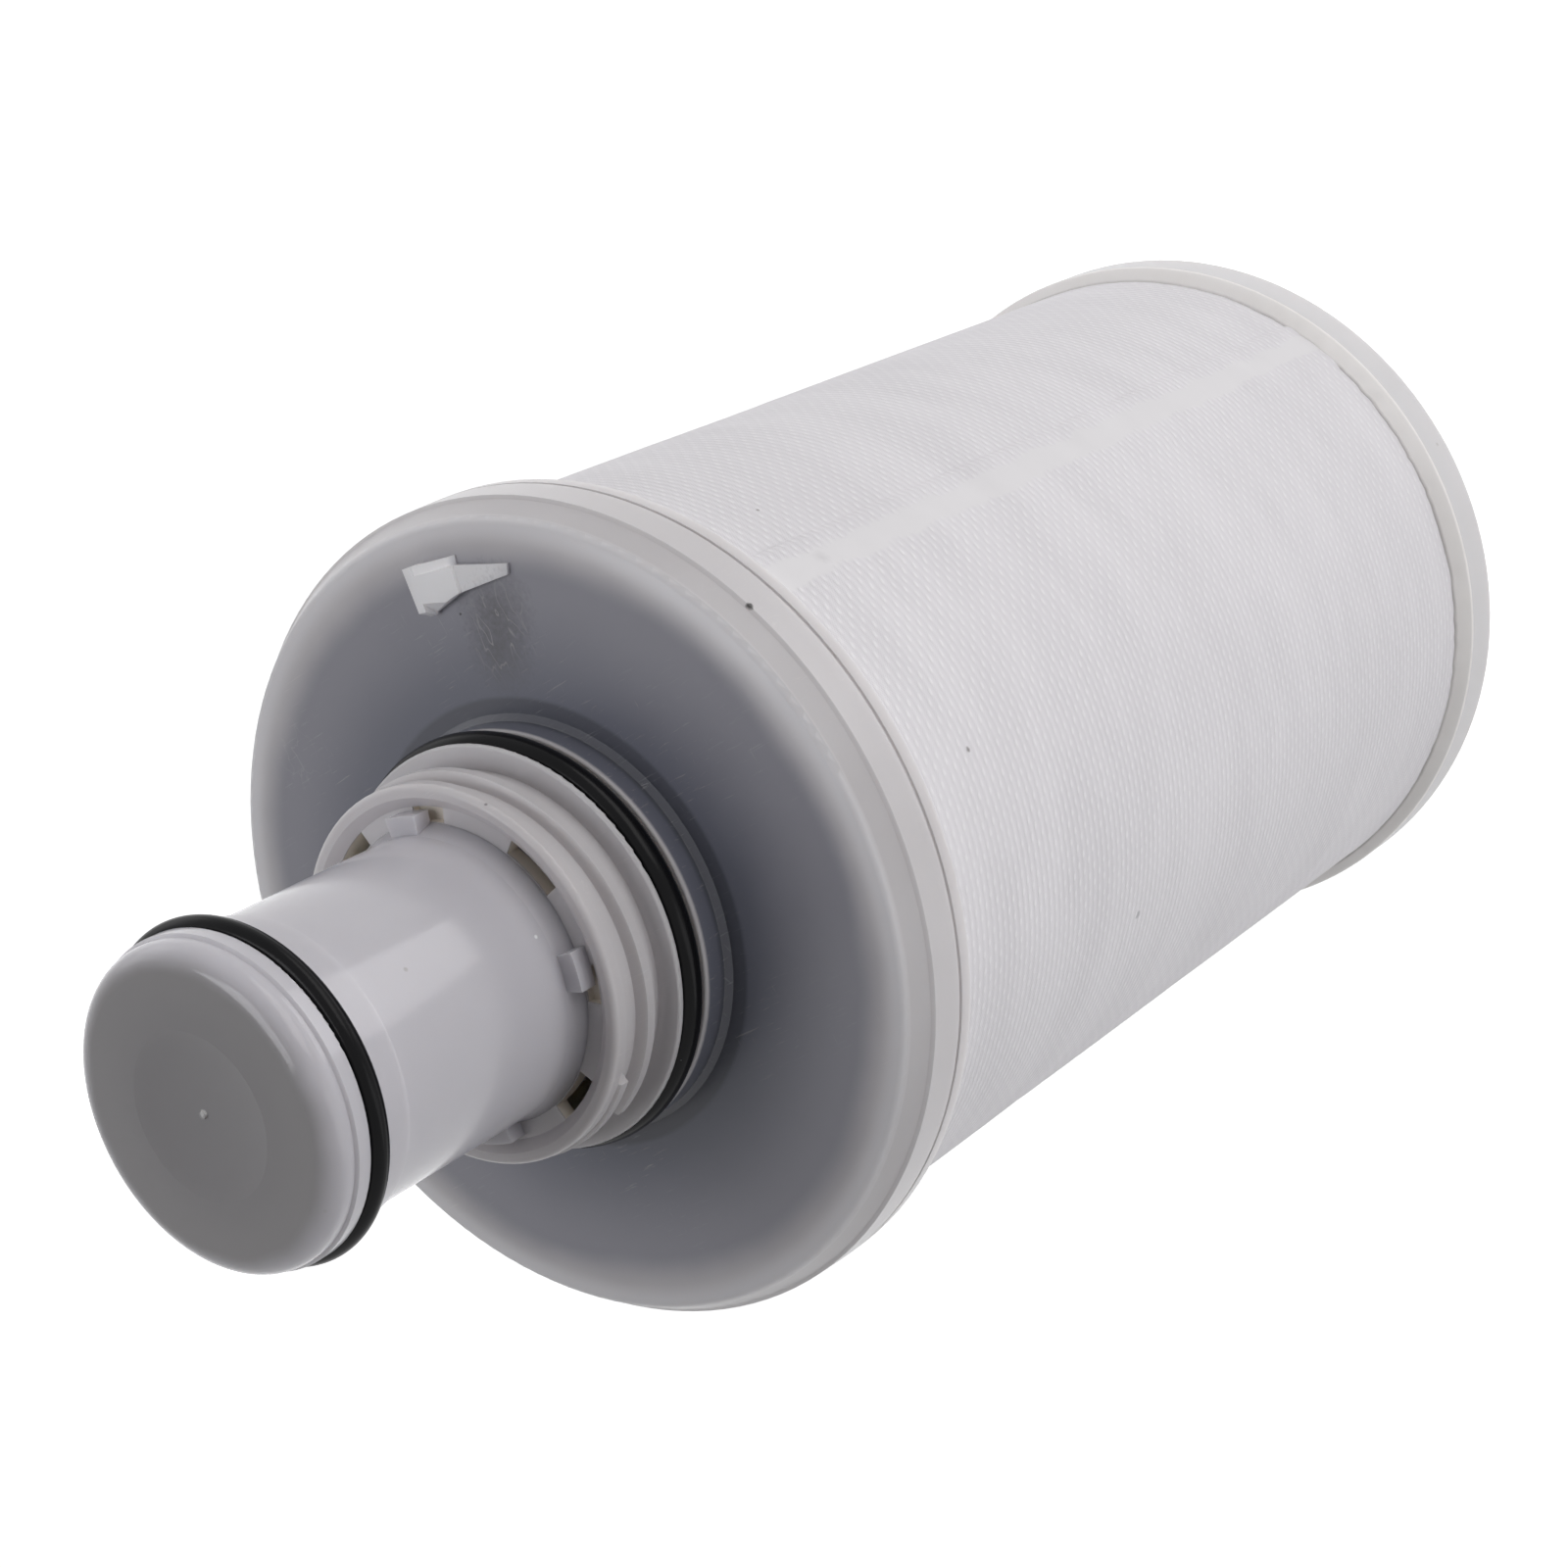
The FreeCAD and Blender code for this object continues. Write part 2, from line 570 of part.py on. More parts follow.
def nodes():
    """Every piece by its name."""
    rear_cap_z = LAMP_BOTTOM_Z + CAP_OVERLAP - LAMP_CAP_H
    front_cap_z = LAMP_TOP_Z - CAP_OVERLAP + LAMP_CAP_H
    block_h = BLOCK_TOP_Z - BLOCK_BOTTOM_Z
    return {
        "outlet_cap": outlet_cap(),
        "collar_o_ring": o_ring(O_RING_SECTION_R, GROOVE_R + O_RING_SECTION_R,
                                REAR_FLANGE_Z + GROOVE_W / 2),
        "nose_housing": nose_housing(),
        "nose_o_ring": o_ring(NOSE_RING_SECTION_R, NOSE_GROOVE_R + NOSE_RING_SECTION_R,
                              NOSE_GROOVE_Z + NOSE_GROOVE_W / 2),
        "rear_cap": rear_cap(),
        "prefilter_wrap": prefilter_wrap(),
        "prefilter_felt": tube(FELT_R, FELT_R - FELT_T, BLOCK_BOTTOM_Z, block_h),
        "carbon_block": tube(BLOCK_R, BLOCK_BORE_R, BLOCK_BOTTOM_Z, block_h),
        "core_tube": core_tube(),
        "front_bond": tube(WRAP_IN_R, CORE_R, BLOCK_TOP_Z, GLUE_FIT),
        "rear_bond": tube(WRAP_IN_R, CORE_R, REAR_PLATE, GLUE_FIT),
        "quartz_sleeve": quartz_sleeve(),
        "sleeve_seal": tube(SEAL_R, SLEEVE_R, SEAL_Z, SEAL_H),
        "gland_ring": tube(GLAND_R, SLEEVE_R + SLEEVE_FIT / 2, GLAND_Z, GLAND_H),
        "sleeve_foot": sleeve_foot(),
        "lamp_spacer": lamp_spacer(),
        "lamp_tube": lamp_tube(),
        "lamp_cap_front": lamp_cap(LAMP_TOP_Z - CAP_OVERLAP, front_cap_z),
        "lamp_cap_rear": lamp_cap(LAMP_BOTTOM_Z + CAP_OVERLAP, rear_cap_z),
        "electrode_front": electrode(LAMP_TOP_Z - LAMP_WALL, -1),
        "electrode_rear": electrode(LAMP_BOTTOM_Z + LAMP_WALL, 1),
        "lamp_wire": lamp_wire(),
        "lamp_socket": lamp_socket(),
        "circuit_board": circuit_board(),
        "capacitor_left": capacitor(-1),
        "capacitor_right": capacitor(1),
        "coil_bobbin": coil_bobbin(),
        "pickup_coil": pickup_coil(),
        "ferrite_core": disc(FERRITE_R, BOBBIN_Z, BOBBIN_H),
    }


for name, shape in nodes().items():
    solid = shape.removeSplitter() if len(shape.Solids) == 1 else shape
    print(name, "valid", solid.isValid(), "solids", len(solid.Solids), "volume", round(solid.Volume, 1))
    solid.exportStep("parts/" + name + ".step")
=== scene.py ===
import logging
import math
from collections.abc import Sequence
from dataclasses import dataclass
from enum import Enum

import bmesh
import bpy
from mathutils import Matrix, Vector, noise


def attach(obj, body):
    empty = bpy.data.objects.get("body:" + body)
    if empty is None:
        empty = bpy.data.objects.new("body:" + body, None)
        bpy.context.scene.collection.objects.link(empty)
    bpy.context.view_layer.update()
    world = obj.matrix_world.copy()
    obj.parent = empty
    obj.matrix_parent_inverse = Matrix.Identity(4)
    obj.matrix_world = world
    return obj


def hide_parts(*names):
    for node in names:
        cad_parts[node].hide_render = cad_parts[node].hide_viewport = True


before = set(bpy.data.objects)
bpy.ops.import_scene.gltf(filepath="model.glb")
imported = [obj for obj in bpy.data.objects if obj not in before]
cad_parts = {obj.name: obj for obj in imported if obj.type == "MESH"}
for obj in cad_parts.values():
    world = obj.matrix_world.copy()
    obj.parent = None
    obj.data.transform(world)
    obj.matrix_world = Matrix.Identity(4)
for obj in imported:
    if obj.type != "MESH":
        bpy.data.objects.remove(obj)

LOG = logging.getLogger("filter_cartridge")
MM = 0.001
BODY = "root"
Tone = tuple[float, float, float]
Colour = tuple[float, float, float, float]
Socket = bpy.types.NodeSocket


def polar(radius_mm: float, angle: float, height_mm: float) -> Vector:
    """Point in metres from a radius, an angle in degrees and a height."""
    turn = math.radians(angle)
    return Vector((radius_mm * math.cos(turn), radius_mm * math.sin(turn), height_mm)) * MM


def opaque(red: float, green: float, blue: float) -> Colour:
    """Colour with full alpha from three linear values."""
    return (red, green, blue, 1.0)


class Graph:
    """Adds and joins the nodes of one node tree."""

    def __init__(self, tree: bpy.types.NodeTree) -> None:
        """Keeps the tree that the nodes go into."""
        self.tree = tree

    def node(self, kind: str, **settings: object) -> bpy.types.Node:
        """Adds one node.

        Args:
            kind: Node type without its ShaderNode prefix.
            settings: Properties set on the node.

        Returns:
            The new node.
        """
        made = self.tree.nodes.new("ShaderNode" + kind)
        for name, value in settings.items():
            setattr(made, name, value)
        return made

    def put(self, target: Socket, value: object) -> None:
        """Joins a socket to the target, or sets a plain value on it.

        Args:
            target: Input socket.
            value: Output socket or plain value; None leaves the target alone.
        """
        if isinstance(value, bpy.types.NodeSocket):
            self.tree.links.new(value, target)
        elif value is not None:
            target.default_value = value

    def fill(self, made: bpy.types.Node, *values: object) -> bpy.types.Node:
        """Joins or sets the first inputs of a node in their order.

        Args:
            made: The node.
            values: Sockets or plain values; None leaves an input alone.

        Returns:
            The same node.
        """
        for target, value in zip(made.inputs, values):
            self.put(target, value)
        return made

    def feed(self, made: bpy.types.Node, **values: object) -> bpy.types.Node:
        """Joins or sets inputs of a node by name.

        Args:
            made: The node.
            values: Sockets or plain values by input, with _ for a space.

        Returns:
            The same node.
        """
        for label, value in values.items():
            self.put(made.inputs[label.replace("_", " ")], value)
        return made

    def maths(self, operation: str, first: object, second: object = None, third: object = None) -> Socket:
        """Result of one Math node."""
        return self.fill(self.node("Math", operation=operation), first, second, third).outputs[0]

    def times(self, first: object, second: object) -> Socket:
        """Product of two values."""
        return self.maths("MULTIPLY", first, second)

    def vector(self, operation: str, first: object, second: object = None) -> Socket:
        """Vector result of one Vector Math node."""
        return self.fill(self.node("VectorMath", operation=operation), first, second).outputs["Vector"]

    def measure(self, operation: str, first: object, second: object = None) -> Socket:
        """Value result of one Vector Math node."""
        return self.fill(self.node("VectorMath", operation=operation), first, second).outputs["Value"]

    def span(self, value: object, low: float, high: float, start: float = 0.0, end: float = 1.0) -> Socket:
        """Smooth step of a value, from start at low to end at high."""
        made = self.node("MapRange", interpolation_type="SMOOTHSTEP")
        return self.fill(made, value, low, high, start, end).outputs[0]

    def band(self, value: object, low_mm: float, high_mm: float) -> Socket:
        """Smooth step from 0 to 1 between two places given in millimetres."""
        return self.span(value, low_mm * MM, high_mm * MM)

    def tint(self, factor: object, first: object, second: object) -> Socket:
        """Mix of two colours, by how much of the second one shows."""
        made = self.node("Mix", data_type="RGBA")
        return self.fill(made, factor, *[None] * 5, first, second).outputs[2]

    def cloud(self, vector: object, scale: float, detail: float = 2.0, rough: float = 0.5) -> Socket:
        """Noise value at a scale given per metre."""
        made = self.node("TexNoise")
        return self.feed(made, Vector=vector, Scale=scale, Detail=detail, Roughness=rough).outputs[0]

    def stretch(self, vector: object, scale: Sequence[float], turn: Sequence[float] = (0, 0, 0)) -> Socket:
        """Copy of a place, scaled on the three axes and turned by degrees."""
        angles = [math.radians(a) for a in turn]
        return self.feed(self.node("Mapping"), Vector=vector, Scale=scale, Rotation=angles).outputs[0]

    def bump(self, height: Socket, strength: float, depth: float, normal: Socket | None = None) -> Socket:
        """Normal bumped by a height from 0 to 1, where 1 stands for the depth in metres."""
        made = self.node("Bump")
        return self.feed(made, Strength=strength, Distance=depth, Height=height, Normal=normal).outputs[0]

    def effect(self, group: bpy.types.NodeTree, **values: object) -> bpy.types.Node:
        """Adds one shared effect, with its inputs by name."""
        return self.feed(self.node("Group", node_tree=group), **values)


class Port(Enum):
    """Socket kinds of a shared effect."""

    VALUE = "NodeSocketFloat"
    PLACE = "NodeSocketVector"


class Effects:
    """Shared effects as node groups with named inputs and outputs."""

    def __init__(self) -> None:
        """Makes every group once."""
        self.grain = self._grain()
        self.dust = self._dust()
        self.scuffs = self._scuffs()
        self.spot = self._spot()
        self.wear_and_edge_highlight = self._wear_and_edge_highlight()
        self.weave = self._weave()

    @staticmethod
    def _group(name: str, inputs: dict[str, tuple[Port, object]], outputs: Sequence[str]) -> tuple:
        """Starts one group.

        Args:
            name: Name of the group.
            inputs: Kind and default of each input.
            outputs: Names of the value outputs.

        Returns:
            The group, its graph, its input node and its output node.
        """
        group = bpy.data.node_groups.new(name, "ShaderNodeTree")
        for label, (port, default) in inputs.items():
            socket = group.interface.new_socket(label, in_out="INPUT", socket_type=port.value)
            if default is not None:
                socket.default_value = default
        for label in outputs:
            group.interface.new_socket(label, in_out="OUTPUT", socket_type=Port.VALUE.value)
        graph = Graph(group)
        return group, graph, group.nodes.new("NodeGroupInput"), group.nodes.new("NodeGroupOutput")

    def _grain(self) -> bpy.types.NodeTree:
        """Fine moulded or pressed grain: a height and a slow tone drift."""
        group, graph, source, result = self._group(
            "surface_grain", {"Place": (Port.PLACE, None), "Size": (Port.VALUE, 0.0006)}, ("Height", "Tone"))
        place = graph.vector("DIVIDE", source.outputs["Place"], source.outputs["Size"])
        slow = graph.cloud(place, 0.035, 2.0, 0.5)
        graph.feed(result, Height=graph.cloud(place, 1.0, 3.0, 0.6), Tone=graph.span(slow, 0.3, 0.7))
        return group

    def _dust(self) -> bpy.types.NodeTree:
        """Sparse tiny specks."""
        group, graph, source, result = self._group(
            "fine_dust", {"Place": (Port.PLACE, None), "Spacing": (Port.VALUE, 0.004),
                          "Share": (Port.VALUE, 0.2)}, ("Mask",))
        per_metre = graph.maths("DIVIDE", 1.0, source.outputs["Spacing"])
        cells = graph.feed(graph.node("TexVoronoi"), Vector=source.outputs["Place"], Scale=per_metre)
        near = graph.span(cells.outputs["Distance"], 0.05, 0.028)
        pick = graph.fill(graph.node("SeparateColor"), cells.outputs["Color"])
        chosen = graph.maths("LESS_THAN", pick.outputs[0], source.outputs["Share"])
        graph.feed(result, Mask=graph.times(near, chosen))
        return group

    def _scuffs(self) -> bpy.types.NodeTree:
        """Fine rubbed streaks, gathered in patches."""
        group, graph, source, result = self._group(
            "scuff_marks", {"Place": (Port.PLACE, None), "Amount": (Port.VALUE, 0.5)}, ("Mask",))
        place = source.outputs["Place"]
        streak = graph.cloud(graph.stretch(place, (2600, 160, 400), (0, 0, 24)), 1.0, 3.0, 0.7)
        other = graph.cloud(graph.stretch(place, (180, 1900, 300), (0, 0, -12)), 1.0, 3.0, 0.7)
        lines = graph.maths("MAXIMUM", graph.span(streak, 0.6, 0.74), graph.span(other, 0.64, 0.78))
        patch = graph.span(graph.cloud(place, 26.0, 2.0), 0.42, 0.68)
        graph.feed(result, Mask=graph.times(graph.times(lines, patch), source.outputs["Amount"]))
        return group

    def _spot(self) -> bpy.types.NodeTree:
        """Round mark at one place, ragged at its edge."""
        group, graph, source, result = self._group(
            "single_spot", {"Place": (Port.PLACE, None), "Centre": (Port.PLACE, None),
                            "Radius": (Port.VALUE, 0.001), "Soft": (Port.VALUE, 0.3)}, ("Mask",))
        place = source.outputs["Place"]
        away = graph.measure("DISTANCE", place, source.outputs["Centre"])
        ragged = graph.maths("SUBTRACT", graph.cloud(place, 1500.0, 3.0), 0.5)
        share = graph.maths("DIVIDE", away, source.outputs["Radius"])
        share = graph.maths("MULTIPLY_ADD", ragged, 0.9, share)
        edge = graph.maths("DIVIDE", graph.maths("SUBTRACT", 1.0, share), source.outputs["Soft"])
        graph.feed(result, Mask=graph.maths("MINIMUM", graph.maths("MAXIMUM", edge, 0.0), 1.0))
        return group

    def _wear_and_edge_highlight(self) -> bpy.types.NodeTree:
        """Lighter outer edges, partly rubbed and partly a painted highlight where they catch the light."""
        group, graph, source, result = self._group(
            "edge_wear_and_highlight", {"Place": (Port.PLACE, None), "Reach": (Port.VALUE, 0.0005)}, ("Mask",))
        soft = graph.feed(graph.node("Bevel", samples=4), Radius=source.outputs["Reach"])
        level = graph.measure("DOT_PRODUCT", soft.outputs[0], graph.node("NewGeometry").outputs["Normal"])
        broken = graph.span(graph.cloud(source.outputs["Place"], 420.0, 3.0), 0.3, 0.6, 0.35, 1.0)
        graph.feed(result, Mask=graph.times(graph.span(level, 0.985, 0.86), broken))
        return group

    def _weave(self) -> bpy.types.NodeTree:
        """Mesh cloth: small raised ovals in diagonal rows, and fine threads between."""
        group, graph, source, result = self._group(
            "mesh_weave", {"Around": (Port.VALUE, 0.0), "Along": (Port.VALUE, 0.0),
                           "Pitch": (Port.VALUE, 0.00266), "Row": (Port.VALUE, 0.00138)},
            ("Oval", "Thread", "Rib"))
        across = graph.maths("DIVIDE", source.outputs["Around"], source.outputs["Pitch"])
        along = graph.maths("DIVIDE", source.outputs["Along"], source.outputs["Row"])
        row = graph.maths("FLOOR", along)
        shifted = graph.maths("MULTIPLY_ADD", row, 0.5, across)
        x = graph.maths("SUBTRACT", graph.maths("FRACT", shifted), 0.5)
        y = graph.maths("SUBTRACT", graph.maths("FRACT", along), 0.5)
        y = graph.maths("MULTIPLY_ADD", x, 0.3, y)
        squares = graph.maths("ADD", graph.times(graph.times(x, x), 15.0),
                              graph.times(graph.times(y, y), 14.0))
        graph.put(result.inputs["Oval"], graph.span(squares, 1.1, 0.05))
        ridge = graph.maths("COSINE", graph.times(graph.maths("FRACT", along), 2.0 * math.pi))
        graph.put(result.inputs["Rib"], graph.span(ridge, 1.0, -1.0))
        fine = graph.maths("SINE", graph.times(shifted, 8.0 * math.pi))
        cross = graph.maths("SINE", graph.times(along, 6.0 * math.pi))
        graph.put(result.inputs["Thread"], graph.span(graph.times(fine, cross), -0.8, 0.8))
        return group


@dataclass(frozen=True)
class Mark:
    """One mark on a surface: where it is, how large, its tone, and how flat it lies."""

    radius: float
    angle: float
    height: float
    size: float
    tone: Colour
    soft: float = 0.5
    squash: float = 1.0


class Skin(Graph):
    """Graph of one material, with its shader, the place on the piece and the shared effects."""

    def __init__(self, material: bpy.types.Material, effects: Effects) -> None:
        """Starts from the material's own Principled BSDF.

        Args:
            material: New material.
            effects: Shared effects.
        """
        material.use_nodes = True
        super().__init__(material.node_tree)
        self.effects = effects
        self.shader = self.tree.nodes["Principled BSDF"]
        self.place = self.node("TexCoord").outputs["Object"]

    def grain(self, size: float) -> tuple[Socket, Socket]:
        """Height and tone of the grain, at a size in metres."""
        made = self.effect(self.effects.grain, Place=self.place, Size=size)
        return made.outputs["Height"], made.outputs["Tone"]

    def specks(self, colour: Socket, spacing: float, share: float, strength: float, tone: object) -> Socket:
        """Colour with fine dust over a share of the places."""
        dust = self.effect(self.effects.dust, Place=self.place, Spacing=spacing, Share=share)
        return self.tint(self.times(dust.outputs["Mask"], strength), colour, tone)

    def cover(self, mark: Mark) -> Socket:
        """Mask of the surface that one mark covers.

        Args:
            mark: The mark.

        Returns:
            The mask socket.
        """
        squashed = self.vector("MULTIPLY", self.place, (1.0, 1.0, mark.squash))
        centre = polar(mark.radius, mark.angle, mark.height * mark.squash)
        made = self.effect(self.effects.spot, Place=squashed, Centre=centre, Radius=mark.size * MM,
                           Soft=mark.soft)
        return made.outputs["Mask"]

    def lay(self, mark: Mark, mask: Socket, colour: Socket) -> Socket:
        """Colour with the tone of a mark laid over it where the mask is."""
        return self.tint(self.times(mask, mark.tone[3]), colour, opaque(*mark.tone[:3]))

    def join(self, colour: Socket, rough: Socket, normal: Socket | None = None) -> None:
        """Joins colour, roughness and bump to the shader."""
        self.feed(self.shader, Base_Color=colour, Roughness=rough, Normal=normal)


class Finish:
    """Base of every finish."""

    name: str

    def build(self, effects: Effects) -> bpy.types.Material:
        """Makes the material.

        Args:
            effects: Shared effects.

        Returns:
            The finished material.
        """
        material = bpy.data.materials.new(self.name)
        self.paint(Skin(material, effects))
        return material

    def paint(self, skin: Skin) -> None:
        """Joins the nodes of this kind of finish."""
        raise NotImplementedError


Looks = tuple[tuple[Finish, tuple[str, ...]], ...]


class SubAssembly:
    """Base of every sub-assembly: CAD nodes that share its finishes."""

    looks: Looks = ()

    def dress(self, effects: Effects) -> None:
        """Gives the carried-over nodes their finish, on all their faces.

        Args:
            effects: Shared effects.
        """
        for look, nodes in self.looks:
            material = look.build(effects)
            for node in nodes:
                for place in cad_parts[node].material_slots:
                    place.material = material
            LOG.info("%s: %s", look.name, ", ".join(nodes))


@dataclass(frozen=True)
class ThinPlateAndPaintedLight:
    """Where a translucent plate is thin and the dark inside shows through it, partly as its own tone and
    partly as painted shade of faces turned from the light.

    The plate lies round a neck and is painted darker toward it; its rim zone and what stands on it get
    painted light, and a bore in the neck gets painted warm light.
    """

    # near, far: dark plate tones, partly the dark inside seen through the plate and partly painted shade;
    # near, toward the neck, is the darker.
    near: Colour
    far: Colour
    # edge: painted light on the rim zone just below the face edge.
    edge: Colour
    inner_mm: float
    middle_mm: float
    outer_mm: float
    bottom_mm: float
    top_mm: float
    neck_mm: float = 0.0
    neck_top_mm: float = 0.0
    lean: float = 0.0
    # raised: painted light tone of what stands on the plate.
    raised: Colour = (1.0, 1.0, 1.0, 1.0)
    # bore: painted warm light in the bore of the neck.
    bore: Colour = (1.0, 1.0, 1.0, 1.0)
    bore_mm: float = 0.0
    bore_top_mm: float = 0.0


@dataclass(frozen=True)
class MouldedPlastic(Finish):
    """White moulded plastic, a little translucent, with handling marks, lighter edges, and painted shade and
    light where a plate is given.
    """

    name: str
    colour: Colour
    shade: Colour
    roughness: float
    translucency: float
    depth_mm: float
    scuff: float = 0.0
    specular: float = 0.4
    marks: tuple[Mark, ...] = ()
    rubs: tuple[Mark, ...] = ()
    plate: ThinPlateAndPaintedLight | None = None

    def _plate_and_painted_light(self, skin: Skin, colour: Socket) -> tuple[Socket, Socket]:
        """Lets the dark inside show through the thin plate, less toward its rim, and lays painted shade and
        painted light over it.

        Args:
            skin: Graph of the material.
            colour: Colour of the thick plastic.

        Returns:
            The colour socket, and the normal that leans outward near the rim.
        """
        plate = self.plate
        height = skin.fill(skin.node("SeparateXYZ"), skin.place).outputs["Z"]
        ray = skin.vector("MULTIPLY", skin.place, (1.0, 1.0, 0.0))
        radius = skin.measure("LENGTH", ray)
        soft = skin.maths("SUBTRACT", skin.cloud(skin.place, 45.0, 2.0), 0.5)
        uneven = skin.maths("MULTIPLY_ADD", soft, 0.004, radius)
        inward = skin.band(uneven, plate.outer_mm, plate.middle_mm)
        deep = skin.band(uneven, plate.middle_mm, plate.inner_mm)
        neck = skin.band(radius, plate.neck_mm + 0.6, plate.neck_mm + 0.1)
        rise = skin.times(neck, (plate.neck_top_mm - plate.top_mm) * MM)
        below = skin.band(skin.maths("SUBTRACT", height, rise), plate.top_mm + 0.9, plate.top_mm + 0.2)
        above = skin.band(height, plate.bottom_mm - 0.4, plate.bottom_mm)
        thin = skin.times(inward, skin.times(below, above))
        # Painted light: the shoulder zone just below the face edge takes the lighter edge colour, standing in
        # for light through the translucent rim.
        painted_rim_light = skin.times(skin.band(radius, plate.outer_mm - 2.2, plate.outer_mm + 0.9),
                          skin.band(height, plate.top_mm - 1.0, plate.top_mm - 0.2))
        colour = skin.tint(skin.times(painted_rim_light, below), colour, plate.edge)
        # Painted light: what stands on the plate, such as the lug, takes the light raised colour.
        raised = skin.times(skin.band(radius, plate.neck_mm + 1.0, plate.neck_mm + 1.5),
                            skin.band(height, plate.top_mm + 0.1, plate.top_mm + 0.3))
        colour = skin.tint(raised, colour, plate.raised)
        # Painted shade: the plate tone is darkened toward black at the foot of the neck.
        foot = skin.times(skin.band(radius, plate.neck_mm, plate.neck_mm - 0.9),
                          skin.band(height, plate.top_mm + 2.0, plate.top_mm + 0.9))
        near = skin.tint(skin.times(foot, 0.4), plate.near, opaque(0.0, 0.0, 0.0))
        # Painted shade: the thin plate runs from the far tone to the darker near tone toward the neck.
        shown = skin.tint(thin, colour, skin.tint(deep, plate.far, near))
        # Painted light: the bore of the neck below its top takes a warm light tone.
        if plate.bore_mm:
            painted_bore_light = skin.times(skin.band(radius, plate.bore_mm + 0.6, plate.bore_mm + 0.2),
                             skin.band(height, plate.bore_top_mm, plate.bore_top_mm - 0.2))
            shown = skin.tint(painted_bore_light, shown, plate.bore)
        edge = skin.band(radius, plate.middle_mm, plate.outer_mm + 1.5)
        amount = skin.times(skin.times(edge, below), plate.lean)
        outward = skin.vector("MULTIPLY", skin.vector("NORMALIZE", ray), amount)
        surface = skin.node("NewGeometry").outputs["Normal"]
        return shown, skin.vector("NORMALIZE", skin.vector("ADD", surface, outward))

    @staticmethod
    def _rub(skin: Skin, colour: Socket, mark: Mark) -> Socket:
        """Lays thin curled rub lines over one spot.

        Args:
            skin: Graph of the material.
            colour: Colour under the lines.
            mark: Where the lines lie, and their tone.

        Returns:
            The colour socket.
        """
        curl = skin.cloud(skin.stretch(skin.place, (0.35, 1.0, 1.0), (0, 0, 0.4)), 430.0, 2.0, 0.4)
        line = skin.maths("ABSOLUTE", skin.maths("SUBTRACT", curl, 0.5))
        return skin.lay(mark, skin.times(skin.span(line, 0.016, 0.003), skin.cover(mark)), colour)

    def paint(self, skin: Skin) -> None:
        """Joins the grain, the lighter rubbed and painted-highlight edges, the plate's painted shade and
        light, and every mark.

        Args:
            skin: Graph of the material.
        """
        skin.feed(skin.shader, Subsurface_Weight=self.translucency, Subsurface_Scale=self.depth_mm * MM,
                  Subsurface_Radius=(1.0, 0.92, 0.86), Specular_IOR_Level=self.specular)
        height, tone = skin.grain(size=0.0007)
        colour = skin.tint(tone, self.shade, self.colour)
        rough, normal = self.roughness, None
        # Plate tone with painted shade and painted light.
        if self.plate:
            colour, normal = self._plate_and_painted_light(skin, colour)
        # Lighter sharp edges: partly rubbed, partly a painted edge highlight.
        wear_and_edge_highlight = skin.effect(skin.effects.wear_and_edge_highlight, Place=skin.place, Reach=0.0004)
        colour = skin.tint(skin.times(wear_and_edge_highlight.outputs["Mask"], 0.12), colour, opaque(0.93, 0.92, 0.91))
        colour = skin.specks(colour, spacing=0.009, share=0.16, strength=0.35, tone=opaque(0.4, 0.38, 0.36))
        if self.scuff:
            scuffs = skin.effect(skin.effects.scuffs, Place=skin.place, Amount=self.scuff).outputs["Mask"]
            colour = skin.tint(scuffs, colour, opaque(0.95, 0.93, 0.9))
            rough = skin.maths("MULTIPLY_ADD", scuffs, 0.3, rough)
        rough = skin.maths("MULTIPLY_ADD", tone, 0.07 if self.scuff else 0.05, rough)
        for mark in self.marks:
            colour = skin.lay(mark, skin.cover(mark), colour)
        for mark in self.rubs:
            colour = self._rub(skin, colour, mark)
        skin.join(colour, rough, skin.bump(height, strength=0.12, depth=0.00006, normal=normal))


@dataclass(frozen=True)
class BlackRubber(Finish):
    """Black ring rubber with a faint bloom."""

    name: str
    colour: Colour
    bloom: Colour
    roughness: float

    def paint(self, skin: Skin) -> None:
        """Joins the bloom, the dust and the fine grain.

        Args:
            skin: Graph of the material.
        """
        skin.feed(skin.shader, Specular_IOR_Level=0.12)
        height, tone = skin.grain(size=0.00035)
        colour = skin.tint(skin.times(tone, 0.6), self.colour, self.bloom)
        colour = skin.specks(colour, spacing=0.0035, share=0.2, strength=0.4, tone=opaque(0.2, 0.2, 0.2))
        rough = skin.maths("MULTIPLY_ADD", height, 0.16, self.roughness - 0.08)
        skin.join(colour, rough, skin.bump(height, strength=0.2, depth=0.00005))


